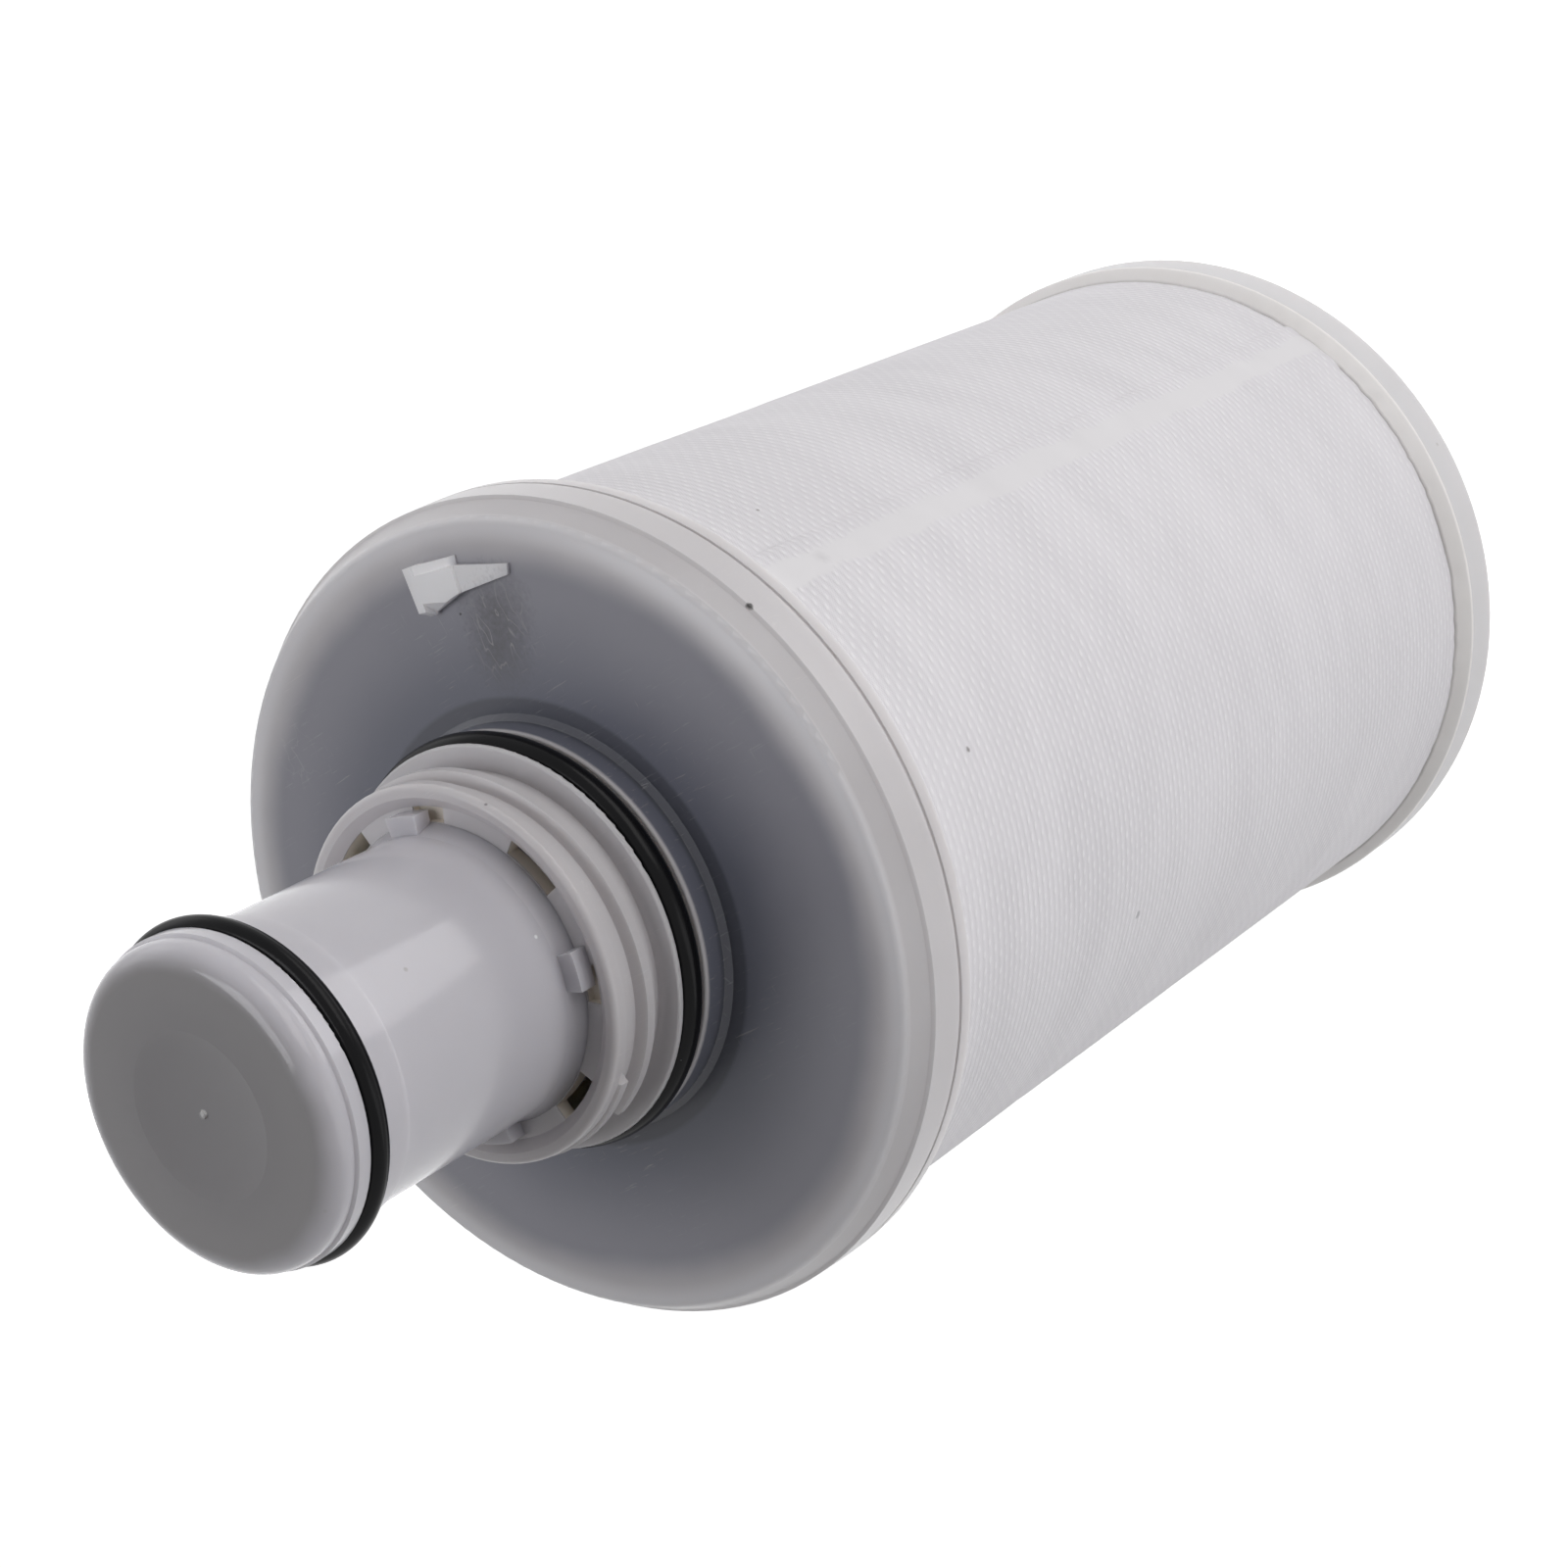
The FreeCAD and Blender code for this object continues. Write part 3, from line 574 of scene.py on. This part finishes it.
@dataclass(frozen=True)
class MeshCloth(Finish):
    """White outer mesh cloth with its smooth welded seam."""

    name: str
    colour: Colour
    oval: Colour
    hollow: Colour
    seam_colour: Colour
    radius_mm: float
    seam_angle: float
    seam_width_mm: float
    pitch_count: int
    row_mm: float
    marks: tuple[Mark, ...] = ()

    def paint(self, skin: Skin) -> None:
        """Joins the weave, the welded seam and the marks.

        Args:
            skin: Graph of the material.
        """
        skin.feed(skin.shader, Sheen_Weight=0.12, Sheen_Roughness=0.4, Specular_IOR_Level=0.3)
        parts = skin.fill(skin.node("SeparateXYZ"), skin.place).outputs
        around = skin.times(skin.maths("ARCTAN2", parts["Y"], parts["X"]), self.radius_mm * MM)
        pitch = 2 * math.pi * self.radius_mm * MM / self.pitch_count
        weave = skin.effect(skin.effects.weave, Around=around, Along=parts["Z"], Pitch=pitch,
                            Row=self.row_mm * MM).outputs
        seam = self._seam(skin, around)
        plain = skin.maths("SUBTRACT", 1.0, seam)
        uneven = skin.span(skin.cloud(skin.place, 330.0, 3.0, 0.7), 0.25, 0.75, 0.45, 1.0)
        oval = skin.times(skin.times(weave["Oval"], uneven), plain)
        slow = skin.span(skin.cloud(skin.stretch(skin.place, (30, 30, 90)), 1.0, 3.0, 0.6), 0.3, 0.7)
        colour = skin.tint(slow, self.hollow, self.colour)
        colour = skin.tint(skin.times(oval, 0.6), colour, self.oval)
        colour = skin.tint(skin.times(seam, 0.7), colour, self.seam_colour)
        for mark in self.marks:
            colour = skin.lay(mark, skin.cover(mark), colour)
        thread = skin.times(weave["Thread"], skin.times(plain, 0.3))
        ribs = skin.times(weave["Rib"], skin.times(plain, 0.6))
        height = skin.maths("ADD", skin.maths("ADD", oval, thread), ribs)
        rough = skin.span(seam, 0.0, 1.0, 0.74, 0.62)
        skin.join(colour, rough, skin.bump(height, strength=0.55, depth=0.00012))

    def _seam(self, skin: Skin, around: Socket) -> Socket:
        """Mask of the welded band.

        Args:
            skin: Graph of the material.
            around: Length round the body.

        Returns:
            The mask socket.
        """
        middle = math.radians(self.seam_angle - 360.0) * self.radius_mm * MM
        away = skin.maths("ABSOLUTE", skin.maths("SUBTRACT", around, middle))
        ragged = skin.times(skin.maths("SUBTRACT", skin.cloud(skin.place, 170.0, 3.0, 0.7), 0.5), 0.0044)
        half = self.seam_width_mm * MM / 2
        return skin.span(skin.maths("ADD", away, ragged), half + 0.0007, half - 0.0005)


@dataclass(frozen=True)
class Pressed(Finish):
    """Matt pressed, felted or cast filling with two tones."""

    name: str
    colour: Colour
    shade: Colour
    roughness: float
    grain_mm: float
    relief_mm: float
    specular: float = 0.3
    metallic: float = 0.0

    def paint(self, skin: Skin) -> None:
        """Joins the grain, the two tones and the dust.

        Args:
            skin: Graph of the material.
        """
        skin.feed(skin.shader, Specular_IOR_Level=self.specular, Metallic=self.metallic)
        height, slow = skin.grain(self.grain_mm * MM)
        fine = skin.span(height, 0.35, 0.65)
        tone = skin.maths("ADD", skin.times(fine, 0.6), skin.times(slow, 0.4))
        colour = skin.tint(tone, self.shade, self.colour)
        spacing = self.grain_mm * 6 * MM
        colour = skin.specks(colour, spacing=spacing, share=0.25, strength=0.3, tone=self.shade)
        rough = skin.maths("MULTIPLY_ADD", height, 0.2, self.roughness - 0.1)
        skin.join(colour, rough, skin.bump(height, strength=0.5, depth=self.relief_mm * MM))


@dataclass(frozen=True)
class Winding(Finish):
    """Enamelled wire wound in even turns."""

    name: str
    colour: Colour
    shade: Colour
    wire_mm: float

    def paint(self, skin: Skin) -> None:
        """Joins the turns of the wire, with painted shade in the grooves between them, and a slow tone.

        Args:
            skin: Graph of the material.
        """
        skin.feed(skin.shader, Metallic=0.85)
        along = skin.fill(skin.node("SeparateXYZ"), skin.place).outputs["Z"]
        turns = skin.times(along, 2 * math.pi / (self.wire_mm * MM))
        wave = skin.span(skin.maths("SINE", turns), -1.0, 0.7)
        height, slow = skin.grain(size=0.0009)
        # Painted shade: the grooves between the turns take the dark shade colour.
        tone = skin.times(wave, skin.span(slow, 0.0, 1.0, 0.7, 1.0))
        skin.join(skin.tint(tone, self.shade, self.colour), skin.span(height, 0.2, 0.8, 0.24, 0.42),
                  skin.bump(wave, strength=0.7, depth=self.wire_mm * MM * 0.4))


@dataclass(frozen=True)
class ClearGlass(Finish):
    """Thin-walled clear quartz with a faint haze."""

    name: str
    colour: Colour
    roughness: float

    def paint(self, skin: Skin) -> None:
        """Joins the haze over clear glass.

        Args:
            skin: Graph of the material.
        """
        skin.feed(skin.shader, IOR=1.46, Metallic=0.0, Transmission_Weight=0.95)
        slow = skin.grain(size=0.004)[1]
        rough = skin.maths("MULTIPLY_ADD", slow, 0.04, self.roughness)
        skin.join(skin.tint(slow, opaque(0.86, 0.89, 0.9), self.colour), rough)


def settle(mesh: bmesh.types.BMesh, name: str, material: bpy.types.Material,
           stands_for: Sequence[str] = ()) -> bpy.types.Object:
    """Turns finished geometry into a piece of the part.

    Args:
        mesh: Geometry in metres, in the part's own frame. It is freed.
        name: Name of the piece.
        material: Its finish.
        stands_for: CAD nodes that it replaces.

    Returns:
        The new object.
    """
    data = bpy.data.meshes.new(name)
    mesh.to_mesh(data)
    mesh.free()
    data.materials.append(material)
    piece = bpy.data.objects.new(name, data)
    bpy.context.scene.collection.objects.link(piece)
    for face in data.polygons:
        face.use_smooth = True
    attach(piece, BODY)
    if stands_for:
        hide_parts(*stands_for)
    LOG.info("%s: %d faces", name, len(data.polygons))
    return piece


def spun(mesh: bmesh.types.BMesh, outline: Sequence[tuple[float, float]], steps: int) -> None:
    """Turns a closed outline of radius and height into a round shape.

    Args:
        mesh: Mesh that takes the shape.
        outline: Radius and height of each corner, millimetres.
        steps: Number of steps of the full turn.
    """
    verts = [mesh.verts.new(Vector((r, 0.0, z)) * MM) for r, z in outline]
    edges = [mesh.edges.new(pair) for pair in zip(verts, verts[1:] + verts[:1])]
    bmesh.ops.spin(mesh, geom=verts + edges, cent=(0, 0, 0), axis=(0, 0, 1), angle=2 * math.pi,
                   steps=steps, use_merge=True)
    bmesh.ops.remove_doubles(mesh, verts=mesh.verts, dist=1e-6)
    bmesh.ops.recalc_face_normals(mesh, faces=mesh.faces)


@dataclass
class ClothWrap:
    """Outer mesh cloth: one sheet round the body, lapped and welded along one line.

    Lengths are in millimetres, the lap's ramp and edge in radians, and each puckered stretch is its
    middle and its width in degrees.
    """

    radius: float = 59.3
    bottom: float = 4.5
    top: float = 185.5
    lap_angle: float = 297.2
    lap_width: float = 11.0
    lap_rise: float = 0.3
    lap_ramp: float = 0.03
    lap_edge: float = 0.012
    columns: int = 105
    rows: int = 27
    refine: int = 3
    wave: float = 0.16
    pucker: float = 0.3
    puckered: tuple[tuple[float, float], ...] = ((7.0, 9.0), (366.0, 7.0))
    ripple: float = 0.07
    tuck: float = 0.05
    tucked_end: float = 6.0
    fray: float = 0.35
    frayed_end: float = 1.0

    def finish(self, effects: Effects) -> bpy.types.Material:
        """Makes the cloth's finish.

        Args:
            effects: Shared effects.

        Returns:
            The finished material.
        """
        return MeshCloth(
            "wrap_cloth", colour=opaque(0.83, 0.81, 0.84), oval=opaque(0.93, 0.92, 0.935),
            hollow=opaque(0.785, 0.765, 0.795), seam_colour=opaque(0.825, 0.812, 0.825),
            radius_mm=self.radius, seam_angle=self.lap_angle, seam_width_mm=4.4, pitch_count=140, row_mm=1.38,
            marks=(Mark(59.3, 264.7, 162.0, 0.5, (0.2, 0.18, 0.18, 0.8)),
                   Mark(59.3, 227.3, 124.0, 0.8, (0.4, 0.4, 0.42, 0.7)),
                   Mark(59.3, 309.9, 161.0, 0.4, (0.33, 0.3, 0.3, 0.7)),
                   Mark(59.5, 297.6, 162.5, 1.6, (0.55, 0.53, 0.55, 0.3), soft=1.0))).build(effects)

    def build(self, effects: Effects) -> None:
        """Makes the sheet.

        Args:
            effects: Shared effects.
        """
        mesh = bmesh.new()
        layer = mesh.verts.layers.float.new("turn")
        full = 2 * math.pi + self.lap_width / self.radius
        start = self.lap_angle - math.degrees(self.lap_width / self.radius) / 2
        step = (self.top - self.bottom) / self.rows
        heights = [self.bottom + i * step for i in range(self.rows + 1)]
        line = [mesh.verts.new(polar(self.radius, start, height)) for height in heights]
        edges = [mesh.edges.new(pair) for pair in zip(line, line[1:])]
        bmesh.ops.spin(mesh, geom=line + edges, cent=(0, 0, 0), axis=(0, 0, 1), angle=full,
                       steps=self.columns, use_merge=False)
        self._measure_turn(mesh, layer, line, full / self.columns)
        bmesh.ops.subdivide_edges(mesh, edges=mesh.edges, cuts=self.refine, use_grid_fill=True)
        self._relief(mesh, layer, full)
        bmesh.ops.recalc_face_normals(mesh, faces=mesh.faces)
        if sum(f.normal.dot(f.calc_center_median().xy.to_3d()) for f in mesh.faces) < 0:
            bmesh.ops.reverse_faces(mesh, faces=mesh.faces)
        piece = settle(mesh, "cloth_wrap", self.finish(effects), ("prefilter_wrap",))

    @staticmethod
    def _measure_turn(mesh: bmesh.types.BMesh, layer: bmesh.types.BMLayerItem,
                      line: Sequence[bmesh.types.BMVert], step: float) -> None:
        """Notes how far round the sheet every vertex lies, past the full turn in the lap.

        Args:
            mesh: The sheet.
            layer: Layer that takes the turn in radians.
            line: Vertices of its first column.
            step: Turn of one column.
        """
        for vert in mesh.verts:
            vert[layer] = -1.0
        front, count = list(line), 0
        while front:
            for vert in front:
                vert[layer] = count * step
            front = [other for vert in front for edge in vert.link_edges
                     if (other := edge.other_vert(vert))[layer] < 0]
            count += 1

    def _relief(self, mesh: bmesh.types.BMesh, layer: bmesh.types.BMLayerItem, full: float) -> None:
        """Lays the lap on top, puckers the cloth beside it and frays its lower end.

        Args:
            mesh: The sheet.
            layer: Turn of each vertex in radians.
            full: Whole turn of the sheet in radians.
        """
        lap = self.lap_width / self.radius
        for vert in mesh.verts:
            turn = vert[layer]
            angle = math.degrees(turn)
            height = vert.co.z / MM
            edge = min(1.0, (full - turn) / self.lap_edge)
            ramp = min(1.0, max(0.0, (turn - 2 * math.pi + self.lap_ramp) / self.lap_ramp))
            lift = self.lap_rise * ramp * edge
            place = Vector((math.cos(turn) * 3.0, math.sin(turn) * 3.0, height / 42.0))
            soft = self.wave * noise.noise(place * 1.3)
            beside = sum(math.exp(-((angle - middle) / width) ** 2) for middle, width in self.puckered)
            pucker = self.pucker * beside * noise.noise(Vector((turn * 5.0, 7.0, height / 9.0)))
            facing = 0.4 + 0.6 * (turn > 4.2)
            ribs = self.ripple * noise.noise(Vector((turn * 1.2, 3.0, height / 3.2))) * facing
            end = min(1.0, (height - self.bottom) / self.tucked_end, (self.top - height) / self.tucked_end)
            out = lift + min(0.0, soft + pucker + ribs) * end - self.tuck * (turn < lap)
            ray = Vector((vert.co.x, vert.co.y, 0.0)).normalized()
            vert.co = ray * (self.radius + out) * MM + Vector((0, 0, vert.co.z))
            if height - self.bottom < self.frayed_end:
                vert.co.z += max(0.0, self.fray * noise.noise(Vector((turn * 60.0, 1.0, 0.0)))) * MM


@dataclass
class Casing(SubAssembly):
    """Moulded outlet cap with its collar, and the closed rear cap."""

    face: float = 190.2
    dark: Tone = (0.03, 0.028, 0.026)
    stain: Tone = (0.13, 0.126, 0.138)
    rubbed: Tone = (0.5, 0.49, 0.49)
    rim_height: float = 8.5
    bead_depth: float = 1.6
    bead_wave: float = 0.45
    bead_edge: float = 1.5
    bead_steps: int = 360
    bead: tuple[tuple[float, float], ...] = (
        (59.88, 0.0), (61.47, 0.0), (61.25, 0.5), (60.8, 1.15), (60.25, 1.85), (59.75, 2.5), (59.1, 3.3))
    looks: Looks = (
        (MouldedPlastic(
            "cap_plastic", colour=opaque(0.655, 0.632, 0.645), shade=opaque(0.63, 0.606, 0.618),
            roughness=0.29, translucency=0.45, depth_mm=4.0, scuff=0.2,
            # Plate: dark tones partly painted shade, darker toward the neck; edge, raised and bore are
            # painted light on the rim zone, the lug and the bore.
            plate=ThinPlateAndPaintedLight(near=opaque(0.178, 0.184, 0.226), far=opaque(0.33, 0.326, 0.366),
                            edge=opaque(0.82, 0.8, 0.82), inner_mm=33.0, middle_mm=52.0, outer_mm=57.9,
                            bottom_mm=181.0, top_mm=face, neck_mm=34.5, neck_top_mm=194.0, lean=0.3, raised=opaque(0.96, 0.94, 0.955),
                            bore=opaque(0.97, 0.89, 0.79), bore_mm=24.6, bore_top_mm=210.15),
            rubs=(Mark(46.0, 335.0, face, 7.0, (*rubbed, 0.45), soft=0.8, squash=5.0),
                  Mark(41.5, 336.5, face, 5.5, (*rubbed, 0.45), soft=0.8, squash=5.0),
                  Mark(52.0, 38.0, face, 7.0, (0.6, 0.59, 0.58, 0.3), soft=1.0, squash=5.0)),
            marks=(Mark(62.3, 293.9, 186.4, 0.7, (*dark, 0.95)), Mark(46.6, 344.0, face, 0.28, (*dark, 0.8)),
                   Mark(46.5, 335.5, face, 7.5, (*stain, 0.75), soft=1.0, squash=5.0),
                   Mark(40.5, 336.5, face, 6.5, (*stain, 0.7), soft=1.0, squash=5.0),
                   Mark(26.7, 220.6, 202.0, 0.35, (*dark, 0.8)),
                   Mark(27.6, 319.8, 210.0, 0.3, (*dark, 0.6)), Mark(27.8, 312.1, 211.0, 0.3, (*dark, 0.6)))),
         ("outlet_cap",)),
        (MouldedPlastic("rear_plastic", colour=opaque(0.74, 0.725, 0.735), shade=opaque(0.71, 0.695, 0.705),
                        roughness=0.38, translucency=0.4, depth_mm=3.0, scuff=0.15), ("rear_cap",)))

    def build(self, effects: Effects) -> None:
        """Makes the resin bead that shows between the cloth and the rear cap, its colour brightened as
        painted light.

        Args:
            effects: Shared effects.
        """
        # Painted light: the bead's colour is brightened above the resin's own tone, standing in for light
        # through the translucent rim onto its front-facing side.
        resin = MouldedPlastic("bead_resin_painted_light", colour=opaque(1.0, 0.965, 0.95), shade=opaque(0.95, 0.915, 0.89),
                               roughness=0.42, translucency=0.15, depth_mm=3.0).build(effects)
        mesh = bmesh.new()
        low = self.rim_height - self.bead_depth
        foot = [(self.bead[-1][0], low), (self.bead[0][0], low)]
        spun(mesh, foot + [(radius, self.rim_height + rise) for radius, rise in self.bead], self.bead_steps)
        for vert in mesh.verts:
            if vert.co.z > (self.rim_height + self.bead_edge) * MM:
                ray = vert.co.xy.normalized()
                vert.co.z += self.bead_wave * MM * noise.noise(Vector((ray.x * 30, ray.y * 30, 2.0)))
        settle(mesh, "rear_bead", resin)


@dataclass
class NoseGroup(SubAssembly):
    """Closed glossy nose tube and both black rings."""

    looks: Looks = (
        (MouldedPlastic(
            "nose_gloss", colour=opaque(0.62, 0.605, 0.645), shade=opaque(0.595, 0.58, 0.62), roughness=0.1,
            translucency=0.6, depth_mm=3.0, specular=0.36,
            # Nose face plate: dark tone over the end face and its rounded shoulder, partly painted shade.
            plate=ThinPlateAndPaintedLight(near=opaque(0.28, 0.268, 0.275), far=opaque(0.315, 0.302, 0.305),
                            edge=opaque(0.6, 0.585, 0.61), inner_mm=8.0, middle_mm=19.0, outer_mm=22.8,
                            bottom_mm=257.6, top_mm=261.0, neck_mm=-9.0, neck_top_mm=261.0, lean=0.12),
            marks=(Mark(21.3, 281.4, 237.5, 0.4, (0.4, 0.38, 0.38, 0.6)),
                   Mark(21.3, 269.8, 215.0, 0.35, (1.0, 1.0, 1.0, 0.9)),
                   # Light spot on the centre dimple: painted light over the dimple's shade.
                   Mark(0.3, 300.0, 260.2, 0.65, (0.95, 0.94, 0.92, 0.75)))), ("nose_housing",)),
        (BlackRubber("ring_rubber", colour=opaque(0.004, 0.004, 0.005), bloom=opaque(0.008, 0.008, 0.009),
                     roughness=0.19), ("collar_o_ring", "nose_o_ring")))


@dataclass
class FilterFilling(SubAssembly):
    """Layers and bonds under the cloth."""

    looks: Looks = (
        (Pressed("felt_layer", opaque(0.8, 0.79, 0.77), opaque(0.66, 0.65, 0.62),
                 roughness=0.9, grain_mm=0.5, relief_mm=0.2),
         ("prefilter_felt",)),
        (Pressed("pressed_carbon", opaque(0.035, 0.034, 0.034), opaque(0.012, 0.012, 0.012),
                 roughness=0.8, grain_mm=0.6, relief_mm=0.25),
         ("carbon_block",)),
        (Pressed("core_plastic", opaque(0.72, 0.72, 0.73), opaque(0.64, 0.64, 0.66),
                 roughness=0.45, grain_mm=0.9, relief_mm=0.03, specular=0.45),
         ("core_tube",)),
        (Pressed("cast_bond", opaque(0.74, 0.68, 0.55), opaque(0.58, 0.52, 0.4),
                 roughness=0.42, grain_mm=1.4, relief_mm=0.06, specular=0.5),
         ("front_bond", "rear_bond")))


@dataclass
class LampGroup(SubAssembly):
    """Lamp, its sleeve and its seals."""

    looks: Looks = (
        (ClearGlass("sleeve_quartz", opaque(0.97, 0.98, 0.98), roughness=0.03),
         ("quartz_sleeve", "lamp_tube")),
        (Pressed("seal_silicone", opaque(0.62, 0.6, 0.58), opaque(0.5, 0.48, 0.46),
                 roughness=0.55, grain_mm=0.5, relief_mm=0.03),
         ("sleeve_seal", "sleeve_foot", "lamp_spacer")),
        (Pressed("lamp_metal", opaque(0.7, 0.69, 0.67), opaque(0.56, 0.55, 0.53),
                 roughness=0.34, grain_mm=0.3, relief_mm=0.02, specular=0.5, metallic=1.0),
         ("lamp_cap_front", "lamp_cap_rear", "electrode_front", "electrode_rear")),
        (Pressed("gland_plastic", opaque(0.7, 0.7, 0.71), opaque(0.62, 0.62, 0.64),
                 roughness=0.4, grain_mm=0.8, relief_mm=0.03, specular=0.45),
         ("gland_ring",)),
        (Pressed("socket_resin", opaque(0.76, 0.74, 0.7), opaque(0.66, 0.64, 0.6),
                 roughness=0.5, grain_mm=0.7, relief_mm=0.04, specular=0.4),
         ("lamp_socket",)))


@dataclass
class PowerGroup(SubAssembly):
    """Pick-up coil and its board in the nose."""

    looks: Looks = (
        (Winding("coil_copper", opaque(0.62, 0.27, 0.12), opaque(0.22, 0.08, 0.035), wire_mm=0.45),
         ("lamp_wire", "pickup_coil")),
        (Pressed("board_resin", opaque(0.035, 0.16, 0.07), opaque(0.02, 0.1, 0.045),
                 roughness=0.4, grain_mm=0.5, relief_mm=0.02, specular=0.5),
         ("circuit_board",)),
        (Pressed("capacitor_resin", opaque(0.42, 0.12, 0.05), opaque(0.3, 0.08, 0.035),
                 roughness=0.4, grain_mm=0.4, relief_mm=0.02, specular=0.5),
         ("capacitor_left", "capacitor_right")),
        (Pressed("ferrite_core", opaque(0.06, 0.058, 0.056), opaque(0.03, 0.03, 0.03),
                 roughness=0.55, grain_mm=0.3, relief_mm=0.03),
         ("ferrite_core",)),
        (Pressed("bobbin_plastic", opaque(0.7, 0.7, 0.7), opaque(0.62, 0.62, 0.62),
                 roughness=0.42, grain_mm=0.7, relief_mm=0.02, specular=0.45),
         ("coil_bobbin",)))


class LampRole(Enum):
    """What a studio lamp is for."""

    LIGHT = "light"
    CARD = "card"


@dataclass(frozen=True)
class SoftPanel:
    """One soft rectangular lamp that looks at a point on the axis."""

    name: str
    angle: float
    distance: float
    height: float
    aim: float
    width: float
    tall: float
    radiance: float
    tone: Colour
    role: LampRole = LampRole.LIGHT

    def build(self) -> bpy.types.Object:
        """Makes the lamp.

        Returns:
            The lamp object.
        """
        data = bpy.data.lights.new(self.name, "AREA")
        data.shape = "RECTANGLE"
        data.size, data.size_y = self.width, self.tall
        data.energy = self.radiance * math.pi * self.width * self.tall
        data.color = self.tone[:3]
        lamp = bpy.data.objects.new(self.name, data)
        bpy.context.scene.collection.objects.link(lamp)
        place = polar(self.distance * 1000, self.angle, self.height * 1000)
        lamp.location = place
        aim = Vector((0, 0, self.aim)) - place
        lamp.rotation_mode = "QUATERNION"
        lamp.rotation_quaternion = aim.to_track_quat("-Z", "Z")
        lamp.visible_camera = False
        lamp.visible_diffuse = self.role is LampRole.LIGHT
        return lamp


@dataclass
class Studio:
    """Floor, background, lamps and camera."""

    floor_size: float = 6.0
    floor_glow: float = 0.7
    floor_seen: float = 0.9
    world_level: float = 0.07
    lens_mm: float = 71.34
    eye: tuple[float, float, float] = (0.002294, -0.319194, 0.502495)
    eye_right: tuple[float, float, float] = (-0.47179, -0.66874, -0.57463)
    eye_up: tuple[float, float, float] = (0.88171, -0.35783, -0.30747)
    panels: tuple[SoftPanel, ...] = (
        SoftPanel("key_panel", angle=301.0, distance=0.9, height=0.2, aim=0.1,
                  width=1.0, tall=0.4, radiance=2.08, tone=opaque(1.0, 0.985, 0.975)),
        SoftPanel("top_panel", angle=30.0, distance=0.22, height=0.88, aim=0.19,
                  width=0.4, tall=0.4, radiance=3.5, tone=opaque(0.96, 0.97, 1.0)),
        SoftPanel("back_panel", angle=35.0, distance=0.55, height=0.3, aim=0.17,
                  width=0.4, tall=0.2, radiance=0.6, tone=opaque(0.98, 0.98, 1.0)),
        SoftPanel("fill_panel", angle=230.0, distance=0.9, height=0.2, aim=0.1,
                  width=0.8, tall=0.4, radiance=1.05, tone=opaque(0.97, 0.98, 1.0)),
        SoftPanel("gloss_card", angle=288.0, distance=0.235, height=0.055, aim=0.055,
                  width=0.2, tall=0.1, radiance=2.5, tone=opaque(1, 0.98, 1), role=LampRole.CARD),
    )

    def build(self) -> None:
        """Makes the whole set."""
        self._world()
        self._floor()
        for panel in self.panels:
            panel.build()
        self._camera()
        bpy.context.scene.view_settings.view_transform = "Standard"
        LOG.info("studio: %d lamps", len(self.panels))

    @staticmethod
    def _seen(graph: Graph) -> Socket:
        """Mask of the rays that show the background: straight, mirrored or through glass.

        Args:
            graph: Graph of the material or world.

        Returns:
            The mask socket.
        """
        path = graph.node("LightPath").outputs
        both = graph.maths("MAXIMUM", path["Is Camera Ray"], path["Is Glossy Ray"])
        return graph.maths("MAXIMUM", both, path["Is Transmission Ray"])

    def _world(self) -> None:
        """Pale surround: white where it is seen, low where it lights."""
        world = bpy.data.worlds.new("studio_air")
        bpy.context.scene.world = world
        world.use_nodes = True
        graph = Graph(world.node_tree)
        level = graph.maths("MULTIPLY_ADD", self._seen(graph), 1.0 - self.world_level, self.world_level)
        graph.feed(world.node_tree.nodes["Background"], Color=opaque(1, 1, 1), Strength=level)

    def _floor(self) -> None:
        """White floor that keeps the soft shadow of the part."""
        mesh = bmesh.new()
        bmesh.ops.create_grid(mesh, x_segments=2, y_segments=2, size=self.floor_size / 2)
        data = bpy.data.meshes.new("floor")
        mesh.to_mesh(data)
        mesh.free()
        floor = bpy.data.objects.new("floor", data)
        bpy.context.scene.collection.objects.link(floor)
        material = bpy.data.materials.new("floor_paper")
        material.use_nodes = True
        graph = Graph(material.node_tree)
        fibre = graph.span(graph.cloud(graph.node("TexCoord").outputs["Object"], 900.0, 3.0), 0.3, 0.7)
        extra = self.floor_seen - self.floor_glow
        glow = graph.maths("MULTIPLY_ADD", self._seen(graph), extra, self.floor_glow)
        graph.feed(graph.tree.nodes["Principled BSDF"], Roughness=0.9, Specular_IOR_Level=0.0,
                   Base_Color=graph.tint(fibre, opaque(0.8, 0.8, 0.8), opaque(0.84, 0.84, 0.84)),
                   Emission_Color=opaque(1, 1, 1), Emission_Strength=glow)
        data.materials.append(material)

    def _camera(self) -> None:
        """Camera at the photograph's place."""
        data = bpy.data.cameras.new("photo_camera")
        data.sensor_width = 36.0
        data.lens = self.lens_mm
        data.clip_start, data.clip_end = 0.01, 20.0
        camera = bpy.data.objects.new("photo_camera", data)
        bpy.context.scene.collection.objects.link(camera)
        right, up = Vector(self.eye_right), Vector(self.eye_up)
        turn = Matrix((right, up, right.cross(up))).transposed().to_4x4()
        camera.matrix_world = Matrix.Translation(self.eye) @ turn
        bpy.context.scene.camera = camera


def main() -> None:
    """Builds and dresses the whole cartridge in its studio."""
    logging.basicConfig(level=logging.INFO, format="%(name)s %(message)s")
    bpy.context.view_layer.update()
    effects = Effects()
    ClothWrap().build(effects)
    casing = Casing()
    casing.build(effects)
    for group in (casing, NoseGroup(), FilterFilling(), LampGroup(), PowerGroup()):
        group.dress(effects)
    Studio().build()


if __name__ == "__main__":
    main()
